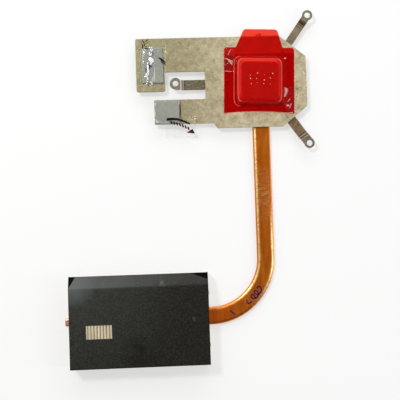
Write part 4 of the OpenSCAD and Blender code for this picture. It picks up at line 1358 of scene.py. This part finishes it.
LEFT_FOLDS = [
    # fans and lines where the tape has creased, pale partly as milky creases and partly as painted
    # highlights, as outlines on the flange
    [(-21.8, 15.3), (-18.7, 14.2), (-16.3, 13.0), (-16.2, 12.2), (-18.8, 13.4), (-21.8, 14.9)],
    [(-19.6, 13.4), (-16.6, 12.2), (-16.9, 10.2), (-18.4, 12.0)],
    [(-17.6, 20.4), (-17.2, 20.3), (-19.2, 16.6), (-19.5, 16.8)],
    [(-21.8, 7.0), (-19.2, 6.9), (-16.6, 6.5), (-16.6, 6.35), (-19.2, 6.6), (-21.8, 6.7)],
]
RIGHT_FOLDS = [
    [(15.2, -4.2), (17.0, -4.9), (17.3, -6.6), (16.2, -8.9), (14.9, -10.4), (14.5, -9.8), (15.2, -7.3)],
    [(15.8, -15.7), (17.1, -15.0), (17.9, -15.6), (16.9, -16.3)],
    [(14.4, -20.2), (17.0, -20.5), (19.8, -20.1), (19.8, -19.7), (17.0, -20.1), (14.4, -19.9)],
    [(18.2, -11.4), (18.6, -11.6), (17.0, -13.2), (16.7, -13.0)],
    [(18.8, -14.2), (19.3, -14.6), (18.0, -17.4), (17.6, -17.1)],
]
RIGHT_HILLS = [(0.30, 14.9, -6.6, 0.9, 2.2), (0.28, 16.8, -15.2, 0.9, 0.5)]
TAPE_Z = FACE_Z + CAP_T + 0.10


def left_tape_height(x, y):
    streak = 0.35 * bell(y - 11.6 - 0.45 * (x + 19), 0.55)
    crossing = 0.22 * bell(x + 17.9 + 0.45 * (y - 18), 0.4) * smooth_step(y, 14, 17)
    return TAPE_Z + streak + crossing + 0.06 * (1 + ripple(x, y, 1.6, 30.0))


def right_tape_height(x, y):
    return TAPE_Z + hills(x, y, RIGHT_HILLS) + 0.09 * (1 + ripple(x, y, 1.2, 31.0))


def add_tapes():
    """Clear tapes that hold the flange down, with puckers and lifted edges."""
    tape = clear_finish("clear_tape", (0.96, 0.93, 0.93), 0.08)
    for side, height in (("left", left_tape_height), ("right", right_tape_height)):
        add_clear_sheet(f"tape_{side}_film", f"cap_tape_{side}", height, 0.3, tape)
    # pale crease patches on the tapes: partly milky creases, partly painted highlights
    milky = milky_finish("milky_tape", ((0.55, 0.16, 0.13), (0.95, 0.62, 0.52)), 0.55)
    add_folds("tape_left_folds", LEFT_FOLDS, left_tape_height, milky)
    add_folds("tape_right_folds", RIGHT_FOLDS, right_tape_height, milky)


# Setting

CAMERA_PLACE = (-56.69, -87.07, 450.0)
CAMERA_TURNS = (1.88752, -2.19708, -1.85025)
PHOTO_PIXELS = 400
FOCAL_PIXELS = 725.806
SENSOR_MM = 36.0
FLOOR_REACH = 3.0
WHITE_SHARE = 0.55
PAPER_WHITE = (0.97, 0.97, 0.97, 1)
SKY = ((0.0, 0.35), (0.30, 0.90), (0.55, 0.90), (0.96, 0.11))
DIM_SIDE, BRIGHT_SIDE = 0.35, 1.35


def add_camera():
    data = bpy.data.cameras.new("photo_camera")
    data.sensor_fit = "HORIZONTAL"
    data.sensor_width = SENSOR_MM
    data.lens = FOCAL_PIXELS / PHOTO_PIXELS * SENSOR_MM
    data.clip_start, data.clip_end = 0.01, 20
    turn = Matrix.Identity(4)
    for angle, axis in zip(CAMERA_TURNS, "XYZ"):
        turn = turn @ Matrix.Rotation(math.radians(angle), 4, axis)
    camera = add_object("photo_camera", data)
    camera.matrix_world = Matrix.Translation(spot(*CAMERA_PLACE)) @ turn
    bpy.context.scene.camera = camera


def add_floor():
    """A white floor that stays white where it is lit and keeps the object's shadow."""
    mesh = bpy.data.meshes.new("floor")
    signs = ((-1, -1), (1, -1), (1, 1), (-1, 1))
    mesh.from_pydata([(x * FLOOR_REACH, y * FLOOR_REACH, 0) for x, y in signs], [], [(0, 1, 2, 3)])
    floor = add_object("floor", mesh)
    material = bpy.data.materials.new("floor")
    material.use_nodes = True
    look = Nodes(material.node_tree)
    look.tree.nodes.clear()
    path = look.node("LightPath").outputs
    seen = path["Is Camera Ray"]
    for output in ("Is Glossy Ray", "Is Transmission Ray"):
        seen = look.maths("MAXIMUM", seen, path[output])
    paper = look.result("BsdfDiffuse", {"Color": PAPER_WHITE})
    white = look.result("Emission")
    mix = look.result("MixShader", {"Fac": look.times(seen, WHITE_SHARE), 1: paper, 2: white})
    look.node("OutputMaterial", {"Surface": mix})
    mesh.materials.append(material)


def add_sky():
    """A soft surround: bright at half height and on the far side, dark straight above."""
    world = bpy.data.worlds.new("surround")
    world.use_nodes = True
    look = Nodes(world.node_tree)
    background = look.tree.nodes["Background"].inputs
    parts = look.node("SeparateXYZ", {"Vector": look.result("TexCoord", output="Generated")}).outputs
    look.put(background["Color"], look.shades(parts["Z"], [(height, (light,) * 3) for height, light in SKY]))
    side = look.ranged(parts["Y"], -0.8, 0.8, DIM_SIDE, BRIGHT_SIDE)
    seen = look.node("LightPath").outputs["Is Camera Ray"]
    look.put(background["Strength"], look.result("Mix", {"Factor": seen, "A": side, "B": 1.0}))
    bpy.context.scene.world = world


def add_lamp(name, place, size, watts, colour=(1, 1, 1)):
    """A soft rectangular lamp that faces the middle of the heatsink."""
    data = bpy.data.lights.new(name, "AREA")
    data.shape = "RECTANGLE"
    data.size, data.size_y = size
    data.energy = watts
    data.color = colour
    lamp = add_object(name, data)
    lamp.location = place
    lamp.rotation_euler = (-Vector(place)).to_track_quat("-Z", "Y").to_euler()


# Nodes that keep their CAD meshes

def add_plain_nodes():
    """Finishes of the rivets and of what the cap and the pipe hide."""
    rivet = simple_finish(
        "rivet_steel", ("grain", 0.5, 3), ((0.44, 0.39, 0.27), (0.58, 0.52, 0.38)), (0.3, 0.5), 0.02,
        Metallic=0.9,
    )
    paste = simple_finish(
        "paste", ("grain", 1.5, 3), ((0.30, 0.30, 0.31), (0.44, 0.44, 0.45)), (0.35, 0.6), 0.08
    )
    wick = simple_finish(
        "sintered_copper", ("spots", 0.16), ((0.62, 0.27, 0.12), (0.28, 0.10, 0.04)), (0.5, 0.9, 0, 1), 0.08,
        places=(0.1, 0.6), Metallic=0.8,
    )
    finished_node("arm_rivets", rivet.material)
    finished_node("cold_plate", contact_copper_finish())
    finished_node("thermal_paste", paste.material)
    finished_node("pipe_wick", wick.material)


# The object, piece by piece, and its setting

add_camera()
dressed("base_plate", plate_finish(), 0.16)
for arm in ARMS:
    dressed(arm, spring_finish(arm), 0.12)
add_plain_nodes()
add_pipe()
add_fins()
add_gasket()
add_cover_film()
add_pads()
add_film_print()
add_cap()
add_tapes()
add_floor()
add_sky()
add_lamp("key", (-0.42, 0.42, 0.74), (0.16, 0.16), 3.8, (1.0, 0.985, 0.96))
add_lamp("right_strip", (0.75, -0.15, 0.40), (0.12, 0.8), 1.5)
add_lamp("window", (0.10, 0.90, 0.38), (0.9, 0.25), 3.0, (0.93, 0.98, 1.0))
bpy.context.scene.view_settings.view_transform = "Standard"
